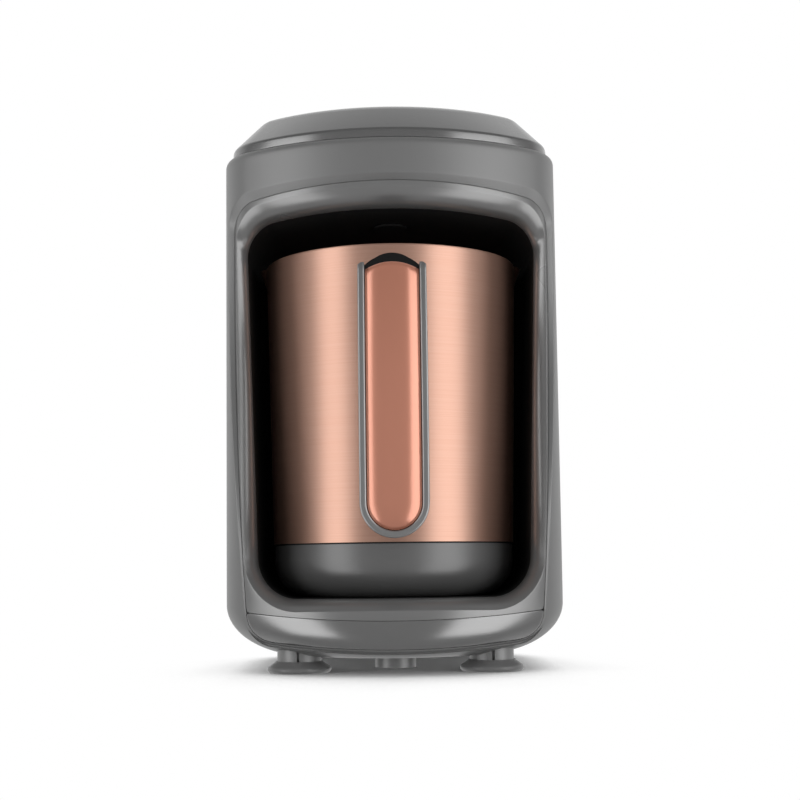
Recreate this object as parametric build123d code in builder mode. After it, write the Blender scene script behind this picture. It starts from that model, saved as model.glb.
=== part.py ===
from build123d import *
import os
from math import cos, hypot, radians, sin, sqrt

# Electric turkish coffee maker: a housing with a deep front cavity, and a pot that
# slides out of it by its handle. Millimetres, X to the right, Y to the back, Z up.
# The origin is on the floor, on the axis of the pot.

os.makedirs("parts", exist_ok=True)

# ---------------------------------------------------------------- driving dimensions

# Fits shared by the whole machine
moulding_gap = 0.3  # between two mouldings that lie side by side
running_gap = 0.4  # around what slides
slide_gap = 0.05  # under the pot, as it slides on the cavity's floor
close_gap = 0.05  # around a part that is pressed or clamped into another
screw_r = 1.5
screw_head_r = 2.8
screw_head_h = 1.4
pilot_r = 1.55  # hole that a screw's thread fills

# Housing, seen from above: a shallow front arc, straight sides and a rounded back
body_width = 137.6
front_reach = 66.0  # pot axis to the middle of the front face
cavity_side = 8.8
cavity_radius = body_width / 2 - cavity_side
back_room = 28.0  # behind the cavity, for the power board and the cord
back_reach = cavity_radius + back_room
front_radius = 100.0
back_radius = 260.0
front_corner = 25.0
back_corner = 30.0
body_bottom = 6.4
bottom_round = 24.0
housing_top = 211.5
shell_wall = 2.8
shoulder = 2.8  # bevel around the housing's top edge
rim_width = 7.0  # the rim that carries the top cover
rim_depth = 6.0

# Front window of the housing, seen from the front, with the bands left around it
head_band = 17.5
window_crown = 4.5
window_top = housing_top - head_band
window_top_side = window_top - window_crown
top_side_band = 4.8
middle_side_band = 6.2
bottom_side_band = 10.6
window_top_half = body_width / 2 - top_side_band
window_middle = 91.0
window_middle_half = body_width / 2 - middle_side_band
foot_band = 3.4
window_sag = 3.7
window_bottom = body_bottom + foot_band
window_bottom_side = window_bottom + window_sag
window_bottom_half = body_width / 2 - bottom_side_band
window_top_corner = 9.0
window_bottom_corner = 10.0
window_bevel = 1.0

# Bezel: the ring between the window and the mouth of the cavity
bezel_set_back = 2.2
bezel_depth = 9.0
bezel_bottom = 21.0
seam_bow = 4.4  # rise of the bezel's bottom edge towards the housing's sides
funnel = 4.4

# Front base cover, below the bezel's seam
base_cover_wall = 3.0

# Cavity: mouth seen from the front, and its round back
bezel_head = 9.2
mouth_crown = 3.0
mouth_top = window_top - bezel_head
mouth_top_side = mouth_top - mouth_crown
mouth_top_band = 9.0
mouth_bottom_band = 14.1
mouth_top_half = body_width / 2 - mouth_top_band
mouth_bottom = 29.4
mouth_bottom_half = body_width / 2 - mouth_bottom_band
mouth_top_corner = 12.0
mouth_bottom_corner = 16.0
liner_wall = 2.0

# Top cover: a low lower bevel and a high sloping one
crease_inset = 3.2
crease_rise = 3.9
deck_inset = 17.0
deck_rise = 17.9
overall_height = housing_top + deck_rise
cover_wall = 3.2
cover_skirt_wall = 2.0
cover_skirt_depth = 4.5

# Start button, its light ring and the panel around them
button_y = -12.0
button_r = 10.0
button_travel = 1.2
button_cap = 1.8
button_flange_r = 10.8
button_flange = 1.0
button_stem_r = 2.6
light_ring_r = 14.2
light_ring_depth = 1.4
light_leg_r = 1.1
panel_half_length = 33.0
panel_r = 19.0
panel_depth = 1.4

# Control board under the top cover
control_board_size = (62.0, 46.0, 1.6)
control_board_rise = 2.5
control_board_top = housing_top + control_board_rise
board_post_r = 3.0
board_post_inset = 4.5
switch_size = (6.2, 6.2, 4.0)
switch_plunger_r = 1.75
switch_plunger = 2.0
switch_slack = 0.15
lamp_r = 1.5
lamp_height = 6.0
buzzer_r = 6.0
buzzer_height = 7.5
buzzer_hole_r = 1.2
buzzer_x = -20.0
lamp_dome = 1.2
component_edge = 1.0

# Overflow sensor above the cavity
sensor_y = -22.0
sensor_window_r = 7.0
sensor_window_drop = 0.8
sensor_flange = 1.5
sensor_flange_r = 8.5
sensor_post_r = 2.0
sensor_size = (27.0, 18.0, 9.0)

# Power board behind the cavity
power_board_size = (72.0, 1.6, 70.0)
power_board_stand = 7.0
power_board_y = cavity_radius + power_board_stand
power_board_bottom = 60.0
power_post_r = 3.0
power_post_inset = 6.0
relay_size = (19.0, 12.0, 15.0)
relay_x = 20.0
transformer_size = (24.0, 11.5, 20.0)
transformer_x = -16.0
component_rise = 20.0
component_bottom = power_board_bottom + component_rise
terminal_size = (26.0, 9.0, 9.0)
terminal_rise = 2.0
terminal_bottom = power_board_bottom + terminal_rise

# Socket at the back of the cavity, and the pot's plug
socket_size = (30.0, 16.0, 13.0)
socket_rise = 12.6
socket_z = mouth_bottom + socket_rise
socket_proud = 2.4
socket_face_y = cavity_radius - socket_proud
contact_pitch = 7.0
contact_wall = 0.7
contact_recess = 1.0
contact_sleeve = 8.0
contact_tail_r = 1.2
contact_tail = 4.0
pin_r = 1.6
pin_reach = 7.5
pin_root = 2.0
plug_size = (25.0, 9.5)
plug_gap = 0.8
plug_length = 17.3
plug_face_y = socket_face_y - plug_gap
plug_back_y = plug_face_y - plug_length
plug_flange = 2.0
plug_flange_lip = 1.0

# Leads inside the machine
lead_r = 1.0
lead_bend = 3.0
lead_run = 3.5
pot_lead_bend = 2.5
ribbon_size = (8.0, 1.0)
ribbon_bend = 7.0
ribbon_x = 10.0
ribbon_lap = 4.0

# Cord gland in the back wall
gland_z = 35.0
gland_bore_r = 3.4
gland_body_r = 6.0
gland_flange_r = 8.0
gland_flange = 2.5
gland_nose = 1.5
gland_bevel = 0.9
gland_inside = 8.0
gland_nut_r = 8.5
gland_nut_depth = 3.0

# Feet
foot_side = 30.2
foot_from_front = 28.0
foot_from_back = 30.0
foot_x = body_width / 2 - foot_side
front_foot_y = foot_from_front - front_reach
rear_foot_y = back_reach - foot_from_back
foot_post_r = 8.8
foot_post_root = 1.6  # how far the post's outside runs up beyond the housing's floor
foot_pad_r = 12.8
foot_pad_rim = 2.2
foot_pad_rise = 1.9  # from the rim up to the post
foot_pad_top = foot_pad_rim + foot_pad_rise
foot_pad_edge = 1.0
foot_pad_hollow = 0.8
foot_plug_r = 4.0
foot_plug = 4.0
post_slit = 1.0

# Service cover and the short post under it
service_half_width = 24.0
service_from_front = 20.5
service_from_back = 22.0
service_front_y = service_from_front - front_reach
service_back_y = back_reach - service_from_back
service_corner = 6.0
service_plate = 3.2
centre_post_r = 8.1
centre_post_from_front = 29.5
centre_post_y = centre_post_from_front - front_reach
centre_post_bottom = 1.8
service_screw_x = 17.0
service_screw_front = 25.5  # from the cover's front edge
service_screw_back = 16.0
service_screw_front_y = service_front_y + service_screw_front
service_screw_back_y = service_back_y - service_screw_back
service_screw_length = 8.0
board_screw_length = 6.0
liner_post_r = 4.0

# Pot base, with the vessel's gasket on top
pot_base_bottom = mouth_bottom + slide_gap
pot_base_height = 21.55
gasket = 0.6

# Pot: a tapered vessel with two pouring lips
lip_clearance = 2.7
lip_reach = cavity_radius - lip_clearance
lip_overhang = 3.2
vessel_top_r = lip_reach - lip_overhang
vessel_spread = 2.7
vessel_bottom_r = vessel_top_r - vessel_spread
vessel_bottom = pot_base_bottom + pot_base_height + gasket
headroom = 13.9
vessel_top = mouth_top - headroom
vessel_wall = 1.0
vessel_foot = 4.4
vessel_floor = vessel_bottom + vessel_foot
lip_r = 9.5
lip_depth = 15.0
lip_root_r = 4.0

pot_base_set_in = 0.5
pot_base_r = vessel_bottom_r - pot_base_set_in
pot_base_round = 15.0
pot_base_wall = 2.4
pot_base_floor = 3.6
spigot_height = 3.4
spigot_wall = 2.0
hatch_from_side = 17.9
pot_hatch_r = pot_base_r - hatch_from_side
pot_hatch = 2.2
hatch_ledge = 8.0
hatch_recess = 2.4
hatch_post_r = 3.2
hatch_post = 6.0
hatch_screws = 3
hatch_screw_length = 6.0

# Heater in the pot base
heater_from_side = 6.9
heater_r = pot_base_r - heater_from_side
heater_plate_h = 3.0
element_r = 3.0
element_from_side = 11.0
element_ring_r = heater_r - element_from_side
element_sweep = 290.0
element_tail_r = 2.0
pot_lead_rise = 3.5
element_tail_bottom = socket_z + pot_lead_rise
thermostat_r = 8.0
thermostat_h = 6.0
fuse_r = 2.0
fuse_length = 14.0
fuse_y = 18.0

# Handle: a bowed grip on two arms
grip_reach = 37.1  # from the vessel's rim to the front of the grip
grip_front_y = -vessel_top_r - grip_reach
grip_bow = 300.0
grip_half = 13.0
grip_rise = 0.9
grip_bottom = vessel_bottom + grip_rise
rail = 2.6
rail_drop = 15.4
rail_top = vessel_top - rail_drop
grip_middle_z = (grip_bottom + rail_top) / 2
rail_top_corner = 1.5
rail_depth = 7.0
rail_edge = 0.8
insert_proud = 0.8
insert_edge = 0.6
insert_back = 3.0
insert_drop = 2.5
insert_crown = 3.2
insert_top_side = rail_top - insert_drop
insert_top = insert_top_side + insert_crown
insert_gap = 0.25
grip_depth = 12.0
grip_back_inset = 0.4
grip_back_edge = 2.0
arch_drop = 2.0
arch_crown = 7.0
arch_side = rail_top - arch_drop
arch_top = arch_side + arch_crown
arm_half = 7.5
arm_height = 13.0
lower_arm_rise = 12.0
upper_arm_drop = 6.0
arm_middles = (grip_bottom + lower_arm_rise, rail_top - upper_arm_drop)
bracket_half = 5.0
bracket_plate = 1.2
bracket_reach = 16.0
bracket_height = 10.0
arm_screw_y = 9.0
arm_screw_length = 8.0

# ---------------------------------------------------------------- shared outlines

front_centre_y = front_radius - front_reach
back_centre_y = back_reach - back_radius
cut_over = 5.0  # how far a cutter runs past what it cuts


def plan_outline(inset, height):
    """Housing seen from above, drawn in by inset, as a face at the given height."""
    half = body_width / 2 - inset
    front_r = front_radius - inset
    back_r = back_radius - inset
    front_side_y = front_centre_y - sqrt(front_r**2 - half**2)
    back_side_y = back_centre_y + sqrt(back_r**2 - half**2)
    with BuildSketch(Plane.XY.offset(height)) as plan:
        with BuildLine():
            ThreePointArc((-half, front_side_y), (0, inset - front_reach), (half, front_side_y))
            Line((half, front_side_y), (half, back_side_y))
            ThreePointArc((half, back_side_y), (0, back_reach - inset), (-half, back_side_y))
            Line((-half, back_side_y), (-half, front_side_y))
        make_face()
        fillet(plan.vertices().group_by(Axis.Y)[0], front_corner - inset)
        fillet(plan.vertices().group_by(Axis.Y)[-1], back_corner - inset)
    return plan.sketch


def housing_form(inset, bottom, top):
    """Closed form of the housing, drawn in by inset, with its rounded bottom edge."""
    with BuildPart() as form:
        extrude(plan_outline(inset, bottom), amount=top - bottom)
        fillet(form.edges().group_by(Axis.Z)[0], bottom_round - inset)
    return form.part


def window_outline(gap):
    """Housing's front window, drawn in by gap, as a face in the XZ plane."""
    top_half = window_top_half - gap
    top_side = window_top_side - gap
    middle_half = window_middle_half - gap
    bottom_half = window_bottom_half - gap
    bottom_side = window_bottom_side + gap
    with BuildSketch(Plane.XZ) as window:
        with BuildLine():
            ThreePointArc((-top_half, top_side), (0, window_top - gap), (top_half, top_side))
            ThreePointArc((top_half, top_side), (middle_half, window_middle), (bottom_half, bottom_side))
            ThreePointArc((bottom_half, bottom_side), (0, window_bottom + gap), (-bottom_half, bottom_side))
            ThreePointArc((-bottom_half, bottom_side), (-middle_half, window_middle), (-top_half, top_side))
        make_face()
        fillet(window.vertices().group_by(Axis.Y)[-1], window_top_corner - gap)
        fillet(window.vertices().group_by(Axis.Y)[0], window_bottom_corner - gap)
    return window.sketch


def mouth_outline(wall, plane_y):
    """Mouth of the cavity, grown by wall, as a face that looks to the front at plane_y."""
    with BuildSketch(Plane.XZ.offset(-plane_y)) as mouth:
        with BuildLine():
            ThreePointArc(
                (-mouth_top_half, mouth_top_side), (0, mouth_top), (mouth_top_half, mouth_top_side)
            )
            Line((mouth_top_half, mouth_top_side), (mouth_bottom_half, mouth_bottom))
            Line((mouth_bottom_half, mouth_bottom), (-mouth_bottom_half, mouth_bottom))
            Line((-mouth_bottom_half, mouth_bottom), (-mouth_top_half, mouth_top_side))
        make_face()
        fillet(mouth.vertices().group_by(Axis.Y)[-1], mouth_top_corner)
        fillet(mouth.vertices().group_by(Axis.Y)[0], mouth_bottom_corner)
        if wall:
            offset(amount=wall)
    return mouth.sketch


def cavity_form(wall, front_arc_r):
    """Inside of the cavity, grown by wall, cut off at the front by an arc of that radius."""
    back_r = cavity_radius + wall
    with BuildPart() as form:
        extrude(mouth_outline(wall, back_r + cut_over), amount=back_r + front_reach + 2 * cut_over)
        with BuildSketch():
            Circle(back_r)
            Rectangle(2 * back_r, front_reach + cut_over, align=(Align.CENTER, Align.MAX))
            with Locations((0, front_centre_y)):
                Circle(front_arc_r, mode=Mode.INTERSECT)
        extrude(amount=housing_top, mode=Mode.INTERSECT)
    return form.part


# ---------------------------------------------------------------- housing

with BuildPart() as outer_shell:
    # Front window with a rounded edge, cut before the housing's bottom is rounded off
    extrude(plan_outline(0, body_bottom), amount=housing_top - body_bottom)
    extrude(window_outline(0), amount=front_reach + cut_over, mode=Mode.SUBTRACT)
    fillet(
        outer_shell.edges(Select.LAST).filter_by(lambda edge: edge.center().Y < -front_reach / 2),
        window_bevel,
    )
    add(housing_form(0, body_bottom, housing_top), mode=Mode.INTERSECT)
    chamfer(outer_shell.edges().group_by(Axis.Z)[-1], shoulder)
    # Foot posts that run up into the bottom, with a slit in the front of each
    with BuildSketch(Plane.XY.offset(foot_pad_top)):
        with Locations(
            (-foot_x, front_foot_y), (foot_x, front_foot_y), (-foot_x, rear_foot_y), (foot_x, rear_foot_y)
        ):
            Circle(foot_post_r)
            with Locations((0, -foot_post_r)):
                Rectangle(post_slit, 2 * post_slit, mode=Mode.SUBTRACT)
    extrude(amount=body_bottom + shell_wall + foot_post_root - foot_pad_top)
    # Hollow, with a rim left at the top for the cover
    add(
        housing_form(shell_wall, body_bottom + shell_wall, housing_top - rim_depth),
        mode=Mode.SUBTRACT,
    )
    extrude(plan_outline(rim_width, housing_top - rim_depth), amount=rim_depth, mode=Mode.SUBTRACT)
    # Socket for the plug of each foot's pad
    with BuildSketch(Plane.XY.offset(foot_pad_top)):
        with Locations(
            (-foot_x, front_foot_y), (foot_x, front_foot_y), (-foot_x, rear_foot_y), (foot_x, rear_foot_y)
        ):
            Circle(foot_plug_r + moulding_gap / 2)
    extrude(amount=foot_plug + moulding_gap, mode=Mode.SUBTRACT)
    # Opening for the service cover
    with BuildSketch(Plane.XY.offset(body_bottom)):
        with Locations((0, (service_front_y + service_back_y) / 2)):
            RectangleRounded(2 * service_half_width, service_back_y - service_front_y, service_corner)
    extrude(amount=2 * shell_wall, mode=Mode.SUBTRACT)
    # Hole for the cord gland
    with Locations(Plane((0, back_reach, gland_z), z_dir=(0, 1, 0))):
        Cylinder(gland_body_r + moulding_gap / 2, 4 * shell_wall, mode=Mode.SUBTRACT)

outer_shell.part.label = "outer_shell"
export_step(outer_shell.part, "parts/outer_shell.step")

# ---------------------------------------------------------------- front base cover


def below_seam(gap):
    """Room in front of the pot under the bezel's bowed bottom edge, lowered by gap."""
    half = body_width / 2
    middle = bezel_bottom - gap
    with BuildPart() as form:
        with BuildSketch(Plane.XZ):
            with BuildLine():
                ThreePointArc((-half, middle + seam_bow), (0, middle), (half, middle + seam_bow))
                Polyline(
                    (half, middle + seam_bow), (half, 0), (-half, 0), (-half, middle + seam_bow)
                )
            make_face()
        extrude(amount=front_reach + cut_over)
    return form.part


with BuildPart() as front_base_cover:
    add(housing_form(moulding_gap, body_bottom + moulding_gap, housing_top))
    add(
        housing_form(
            moulding_gap + base_cover_wall, body_bottom + moulding_gap + base_cover_wall, housing_top
        ),
        mode=Mode.SUBTRACT,
    )
    extrude(window_outline(moulding_gap), amount=front_reach, mode=Mode.INTERSECT)
    add(below_seam(moulding_gap), mode=Mode.INTERSECT)

front_base_cover.part.label = "front_base_cover"
export_step(front_base_cover.part, "parts/front_base_cover.step")

# ---------------------------------------------------------------- front bezel

bezel_front_r = front_radius - bezel_set_back
bezel_back_r = bezel_front_r - bezel_depth


def on_bezel_front(edge):
    """True for an edge that lies on the bezel's curved front face."""
    return all(
        abs(hypot((edge @ t).X, (edge @ t).Y - front_centre_y) - bezel_front_r) < 0.01 for t in (0, 0.5, 1)
    )


with BuildPart() as front_bezel:
    extrude(window_outline(moulding_gap), amount=front_reach)
    with BuildSketch():
        with Locations((0, front_centre_y)):
            Circle(bezel_front_r)
            Circle(bezel_back_r, mode=Mode.SUBTRACT)
    extrude(amount=housing_top, mode=Mode.INTERSECT)
    add(below_seam(0), mode=Mode.SUBTRACT)
    extrude(mouth_outline(0, 0), amount=front_reach, mode=Mode.SUBTRACT)
    fillet(front_bezel.edges(Select.LAST).filter_by(on_bezel_front), funnel)

front_bezel.part.label = "front_bezel"
export_step(front_bezel.part, "parts/front_bezel.step")

# ---------------------------------------------------------------- cavity liner

service_screw_places = [
    (x, y)
    for x in (-service_screw_x, service_screw_x)
    for y in (service_screw_front_y, service_screw_back_y)
]
liner_bottom = mouth_bottom - liner_wall
service_top = body_bottom + service_plate
power_board_middle_z = power_board_bottom + power_board_size[2] / 2
power_post_x = power_board_size[0] / 2 - power_post_inset
power_post_dz = power_board_size[2] / 2 - power_post_inset
power_post_places = [
    (x, power_board_middle_z + dz)
    for x in (-power_post_x, power_post_x)
    for dz in (-power_post_dz, power_post_dz)
]
sensor_post_x = sensor_size[0] / 2 - sensor_post_r
liner_top = mouth_top + liner_wall

with BuildPart() as cavity_liner:
    add(cavity_form(liner_wall, bezel_back_r - moulding_gap / 2))
    # Posts for the service cover, the power board and the overflow sensor
    with BuildSketch(Plane.XY.offset(service_top)):
        with Locations(*service_screw_places):
            Circle(liner_post_r)
    extrude(amount=mouth_bottom - service_top)
    with BuildSketch(Plane.XZ.offset(-power_board_y)):
        with Locations(*power_post_places):
            Circle(power_post_r)
    extrude(amount=power_board_y)
    with BuildSketch(Plane.XY.offset(mouth_top)):
        with Locations((-sensor_post_x, sensor_y), (sensor_post_x, sensor_y)):
            Circle(sensor_post_r)
    extrude(amount=liner_wall + sensor_flange)
    add(cavity_form(0, front_radius), mode=Mode.SUBTRACT)
    # Pilot holes
    with Locations(*[(x, y, service_top) for x, y in service_screw_places]):
        Cylinder(
            pilot_r,
            liner_bottom - service_top,
            align=(Align.CENTER, Align.CENTER, Align.MIN),
            mode=Mode.SUBTRACT,
        )
    with Locations(*[Plane((x, power_board_y, z), z_dir=(0, -1, 0)) for x, z in power_post_places]):
        Cylinder(
            pilot_r,
            board_screw_length - power_board_size[1],
            align=(Align.CENTER, Align.CENTER, Align.MIN),
            mode=Mode.SUBTRACT,
        )
    # Holes for the sensor's window and for the socket
    with Locations((0, sensor_y, mouth_top)):
        Cylinder(sensor_window_r + moulding_gap / 2, 4 * liner_wall, mode=Mode.SUBTRACT)
    with Locations((0, cavity_radius, socket_z)):
        Box(
            socket_size[0] + moulding_gap,
            4 * liner_wall,
            socket_size[2] + moulding_gap,
            mode=Mode.SUBTRACT,
        )

cavity_liner.part.label = "cavity_liner"
export_step(cavity_liner.part, "parts/cavity_liner.step")

# ---------------------------------------------------------------- top cover

crease_z = housing_top + crease_rise
deck_under = overall_height - cover_wall
skirt_inset = rim_width + moulding_gap
panel_floor = overall_height - panel_depth
ring_floor = overall_height - light_ring_depth
button_hole_r = button_flange_r + moulding_gap
light_leg_at = (button_hole_r + light_ring_r) / 2 + moulding_gap / 2
control_board_under = control_board_top - control_board_size[2]
control_post_x = control_board_size[0] / 2 - board_post_inset
control_post_dy = control_board_size[1] / 2 - board_post_inset
control_post_places = [
    (x, button_y + dy)
    for x in (-control_post_x, control_post_x)
    for dy in (-control_post_dy, control_post_dy)
]


def panel_outline(gap, height):
    """Panel around the start button, grown by gap, as a face at the given height."""
    with BuildSketch(Plane.XY.offset(height)) as panel:
        with Locations((0, button_y)):
            SlotOverall(2 * (panel_half_length + gap), 2 * (panel_r + gap))
    return panel.sketch


with BuildPart() as top_cover:
    loft([plan_outline(shoulder, housing_top), plan_outline(crease_inset, crease_z)], ruled=True)
    loft([plan_outline(crease_inset, crease_z), plan_outline(deck_inset, overall_height)], ruled=True)
    loft(
        [
            plan_outline(skirt_inset + cover_skirt_wall, housing_top),
            plan_outline(deck_inset + cover_wall, deck_under),
        ],
        ruled=True,
        mode=Mode.SUBTRACT,
    )
    # Skirt that locates the cover inside the housing's rim
    extrude(plan_outline(skirt_inset, housing_top - cover_skirt_depth), amount=cover_skirt_depth)
    extrude(
        plan_outline(skirt_inset + cover_skirt_wall, housing_top - cover_skirt_depth),
        amount=cover_skirt_depth,
        mode=Mode.SUBTRACT,
    )
    # Posts for the control board
    with BuildSketch(Plane.XY.offset(control_board_top)):
        with Locations(*control_post_places):
            Circle(board_post_r)
            Circle(pilot_r, mode=Mode.SUBTRACT)
    extrude(amount=deck_under - control_board_top)
    # Pocket for the panel, seat of the light ring, and hole for the button
    extrude(panel_outline(moulding_gap / 2, panel_floor), amount=panel_depth, mode=Mode.SUBTRACT)
    with BuildSketch(Plane.XY.offset(deck_under)):
        with Locations((0, button_y)):
            Circle(button_hole_r)
        with Locations((0, button_y + light_leg_at)):
            Circle(light_leg_r + moulding_gap / 2)
    extrude(amount=cover_wall, mode=Mode.SUBTRACT)

top_cover.part.label = "top_cover"
export_step(top_cover.part, "parts/top_cover.step")

# ---------------------------------------------------------------- control panel

with BuildPart() as control_panel:
    extrude(panel_outline(0, panel_floor), amount=panel_depth)
    with Locations((0, button_y, panel_floor)):
        Cylinder(light_ring_r + moulding_gap / 2, 2 * panel_depth, mode=Mode.SUBTRACT)

control_panel.part.label = "control_panel"
export_step(control_panel.part, "parts/control_panel.step")

with BuildPart() as light_ring:
    with BuildSketch(Plane.XY.offset(ring_floor)):
        with Locations((0, button_y)):
            Circle(light_ring_r)
            Circle(button_r + running_gap, mode=Mode.SUBTRACT)
    extrude(amount=light_ring_depth)
    # Light guide that reaches down to the lamp
    with BuildSketch(Plane.XY.offset(control_board_top + lamp_height + moulding_gap)):
        with Locations((0, button_y + light_leg_at)):
            Circle(light_leg_r)
    extrude(until=Until.NEXT)

light_ring.part.label = "light_ring"
export_step(light_ring.part, "parts/light_ring.step")

# ---------------------------------------------------------------- start button

plunger_top = control_board_top + switch_size[2] + switch_plunger
flange_top = ring_floor - running_gap
stem_bottom = plunger_top + button_travel + switch_slack

with BuildPart() as start_button:
    with BuildSketch(Plane.XZ) as button_profile:
        with BuildLine():
            Polyline(
                (0, overall_height),
                (button_r, overall_height),
                (button_r, flange_top),
                (button_flange_r, flange_top),
                (button_flange_r, flange_top - button_flange),
                (button_r - button_cap, flange_top - button_flange),
                (button_r - button_cap, overall_height - button_cap),
                (button_stem_r, overall_height - button_cap),
                (button_stem_r, stem_bottom),
                (0, stem_bottom),
                close=True,
            )
        make_face()
    revolve(axis=Axis.Z)
    fillet(start_button.edges().group_by(Axis.Z)[-1], button_cap / 3)

start_button.part.label = "start_button"
export_step(start_button.part.moved(Location((0, button_y, 0))), "parts/start_button.step")

# ---------------------------------------------------------------- control electronics


def screws(places, length):
    """Group of pan-head screws; each place is the seat of a head, its axis into the thread."""
    with BuildPart() as group:
        with Locations(*places):
            Cylinder(screw_r, length, align=(Align.CENTER, Align.CENTER, Align.MIN))
            Cylinder(screw_head_r, screw_head_h, align=(Align.CENTER, Align.CENTER, Align.MAX))
    return group.part


with BuildPart() as control_board:
    with BuildSketch(Plane.XY.offset(control_board_under)):
        with Locations((0, button_y)):
            Rectangle(control_board_size[0], control_board_size[1])
        with Locations(*control_post_places):
            Circle(screw_r + moulding_gap / 2, mode=Mode.SUBTRACT)
    extrude(amount=control_board_size[2])

control_board.part.label = "control_board"
export_step(control_board.part, "parts/control_board.step")

board_screws = screws([(x, y, control_board_under) for x, y in control_post_places], board_screw_length)
board_screws.label = "control_board_screws"
export_step(board_screws, "parts/control_board_screws.step")

with BuildPart() as push_switch:
    with Locations((0, button_y, control_board_top)):
        Box(*switch_size, align=(Align.CENTER, Align.CENTER, Align.MIN))
        Cylinder(
            switch_plunger_r,
            switch_size[2] + switch_plunger,
            align=(Align.CENTER, Align.CENTER, Align.MIN),
        )

push_switch.part.label = "push_switch"
export_step(push_switch.part, "parts/push_switch.step")

with BuildPart() as indicator_lamp:
    with Locations((0, button_y + light_leg_at, control_board_top)):
        Cylinder(lamp_r, lamp_height, align=(Align.CENTER, Align.CENTER, Align.MIN))
    fillet(indicator_lamp.edges().group_by(Axis.Z)[-1], lamp_dome)

indicator_lamp.part.label = "indicator_lamp"
export_step(indicator_lamp.part, "parts/indicator_lamp.step")

with BuildPart() as buzzer:
    with Locations((buzzer_x, button_y, control_board_top)):
        Cylinder(buzzer_r, buzzer_height, align=(Align.CENTER, Align.CENTER, Align.MIN))
    with Locations((buzzer_x, button_y, control_board_top + buzzer_height)):
        Cylinder(buzzer_hole_r, buzzer_height, mode=Mode.SUBTRACT)

buzzer.part.label = "buzzer"
export_step(buzzer.part, "parts/buzzer.step")

# ---------------------------------------------------------------- overflow sensor

with BuildPart() as sensor_window:
    with Locations((0, sensor_y, mouth_top - sensor_window_drop)):
        Cylinder(
            sensor_window_r,
            liner_wall + sensor_window_drop + sensor_flange,
            align=(Align.CENTER, Align.CENTER, Align.MIN),
        )
    with Locations((0, sensor_y, liner_top)):
        Cylinder(sensor_flange_r, sensor_flange, align=(Align.CENTER, Align.CENTER, Align.MIN))

sensor_window.part.label = "sensor_window"
export_step(sensor_window.part, "parts/sensor_window.step")

with BuildPart() as overflow_sensor:
    with Locations((0, sensor_y, liner_top + sensor_flange)):
        Box(*sensor_size, align=(Align.CENTER, Align.CENTER, Align.MIN))
    chamfer(overflow_sensor.edges().group_by(Axis.Z)[-1], sensor_flange)

overflow_sensor.part.label = "overflow_sensor"
export_step(overflow_sensor.part, "parts/overflow_sensor.step")

# ---------------------------------------------------------------- power electronics

board_back_y = power_board_y + power_board_size[1]

with BuildPart() as power_board:
    with Locations((0, power_board_y, power_board_bottom)):
        Box(*power_board_size, align=(Align.CENTER, Align.MIN, Align.MIN))
    with Locations(*[Plane((x, power_board_y, z), z_dir=(0, 1, 0)) for x, z in power_post_places]):
        Cylinder(screw_r + moulding_gap / 2, 4 * power_board_size[1], mode=Mode.SUBTRACT)

power_board.part.label = "power_board"
export_step(power_board.part, "parts/power_board.step")

power_screws = screws(
    [Plane((x, board_back_y, z), z_dir=(0, -1, 0)) for x, z in power_post_places],
    board_screw_length - moulding_gap,
)
power_screws.label = "power_board_screws"
export_step(power_screws, "parts/power_board_screws.step")

with BuildPart() as relay:
    with Locations((relay_x, board_back_y, component_bottom)):
        Box(*relay_size, align=(Align.CENTER, Align.MIN, Align.MIN))
    fillet(relay.edges().filter_by(Axis.Y), component_edge)

relay.part.label = "relay"
export_step(relay.part, "parts/relay.step")

with BuildPart() as transformer:
    with Locations((transformer_x, board_back_y, component_bottom)):
        Box(*transformer_size, align=(Align.CENTER, Align.MIN, Align.MIN))
    chamfer(transformer.edges().filter_by(Axis.Z), component_edge)

transformer.part.label = "transformer"
export_step(transformer.part, "parts/transformer.step")

with BuildPart() as terminal_block:
    with Locations((0, board_back_y, terminal_bottom)):
        Box(*terminal_size, align=(Align.CENTER, Align.MIN, Align.MIN))
    chamfer(terminal_block.edges().filter_by(Axis.X).group_by(Axis.Y)[-1], component_edge)

terminal_block.part.label = "terminal_block"
export_step(terminal_block.part, "parts/terminal_block.step")

# ---------------------------------------------------------------- socket and its leads

contact_xs = (-contact_pitch, 0, contact_pitch)
sleeve_bore_r = pin_r + running_gap
sleeve_r = sleeve_bore_r + contact_wall
sleeve_front_y = socket_face_y + contact_recess
sleeve_back_y = sleeve_front_y + contact_sleeve
socket_back_y = socket_face_y + socket_size[1]
tail_end_y = socket_back_y + contact_tail


def rod_along_y(radius, front_y, back_y, xs, height):
    """Solid rods that lie front to back, one at each x."""
    with BuildPart() as rods:
        with Locations(*[Plane((x, front_y, height), z_dir=(0, 1, 0)) for x in xs]):
            Cylinder(radius, back_y - front_y, align=(Align.CENTER, Align.CENTER, Align.MIN))
    return rods.part


with BuildPart() as socket_block:
    with Locations((0, socket_face_y, socket_z)):
        Box(*socket_size, align=(Align.CENTER, Align.MIN, Align.CENTER))
    add(
        rod_along_y(sleeve_r + close_gap, socket_face_y, sleeve_back_y, contact_xs, socket_z),
        mode=Mode.SUBTRACT,
    )
    add(
        rod_along_y(contact_tail_r + close_gap, sleeve_back_y, socket_back_y, contact_xs, socket_z),
        mode=Mode.SUBTRACT,
    )

socket_block.part.label = "socket_block"
export_step(socket_block.part, "parts/socket_block.step")

with BuildPart() as socket_contacts:
    add(rod_along_y(sleeve_r, sleeve_front_y, sleeve_back_y, contact_xs, socket_z))
    add(
        rod_along_y(sleeve_bore_r, sleeve_front_y, sleeve_back_y - contact_wall, contact_xs, socket_z),
        mode=Mode.SUBTRACT,
    )
    add(rod_along_y(contact_tail_r, sleeve_back_y, tail_end_y, contact_xs, socket_z))

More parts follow.
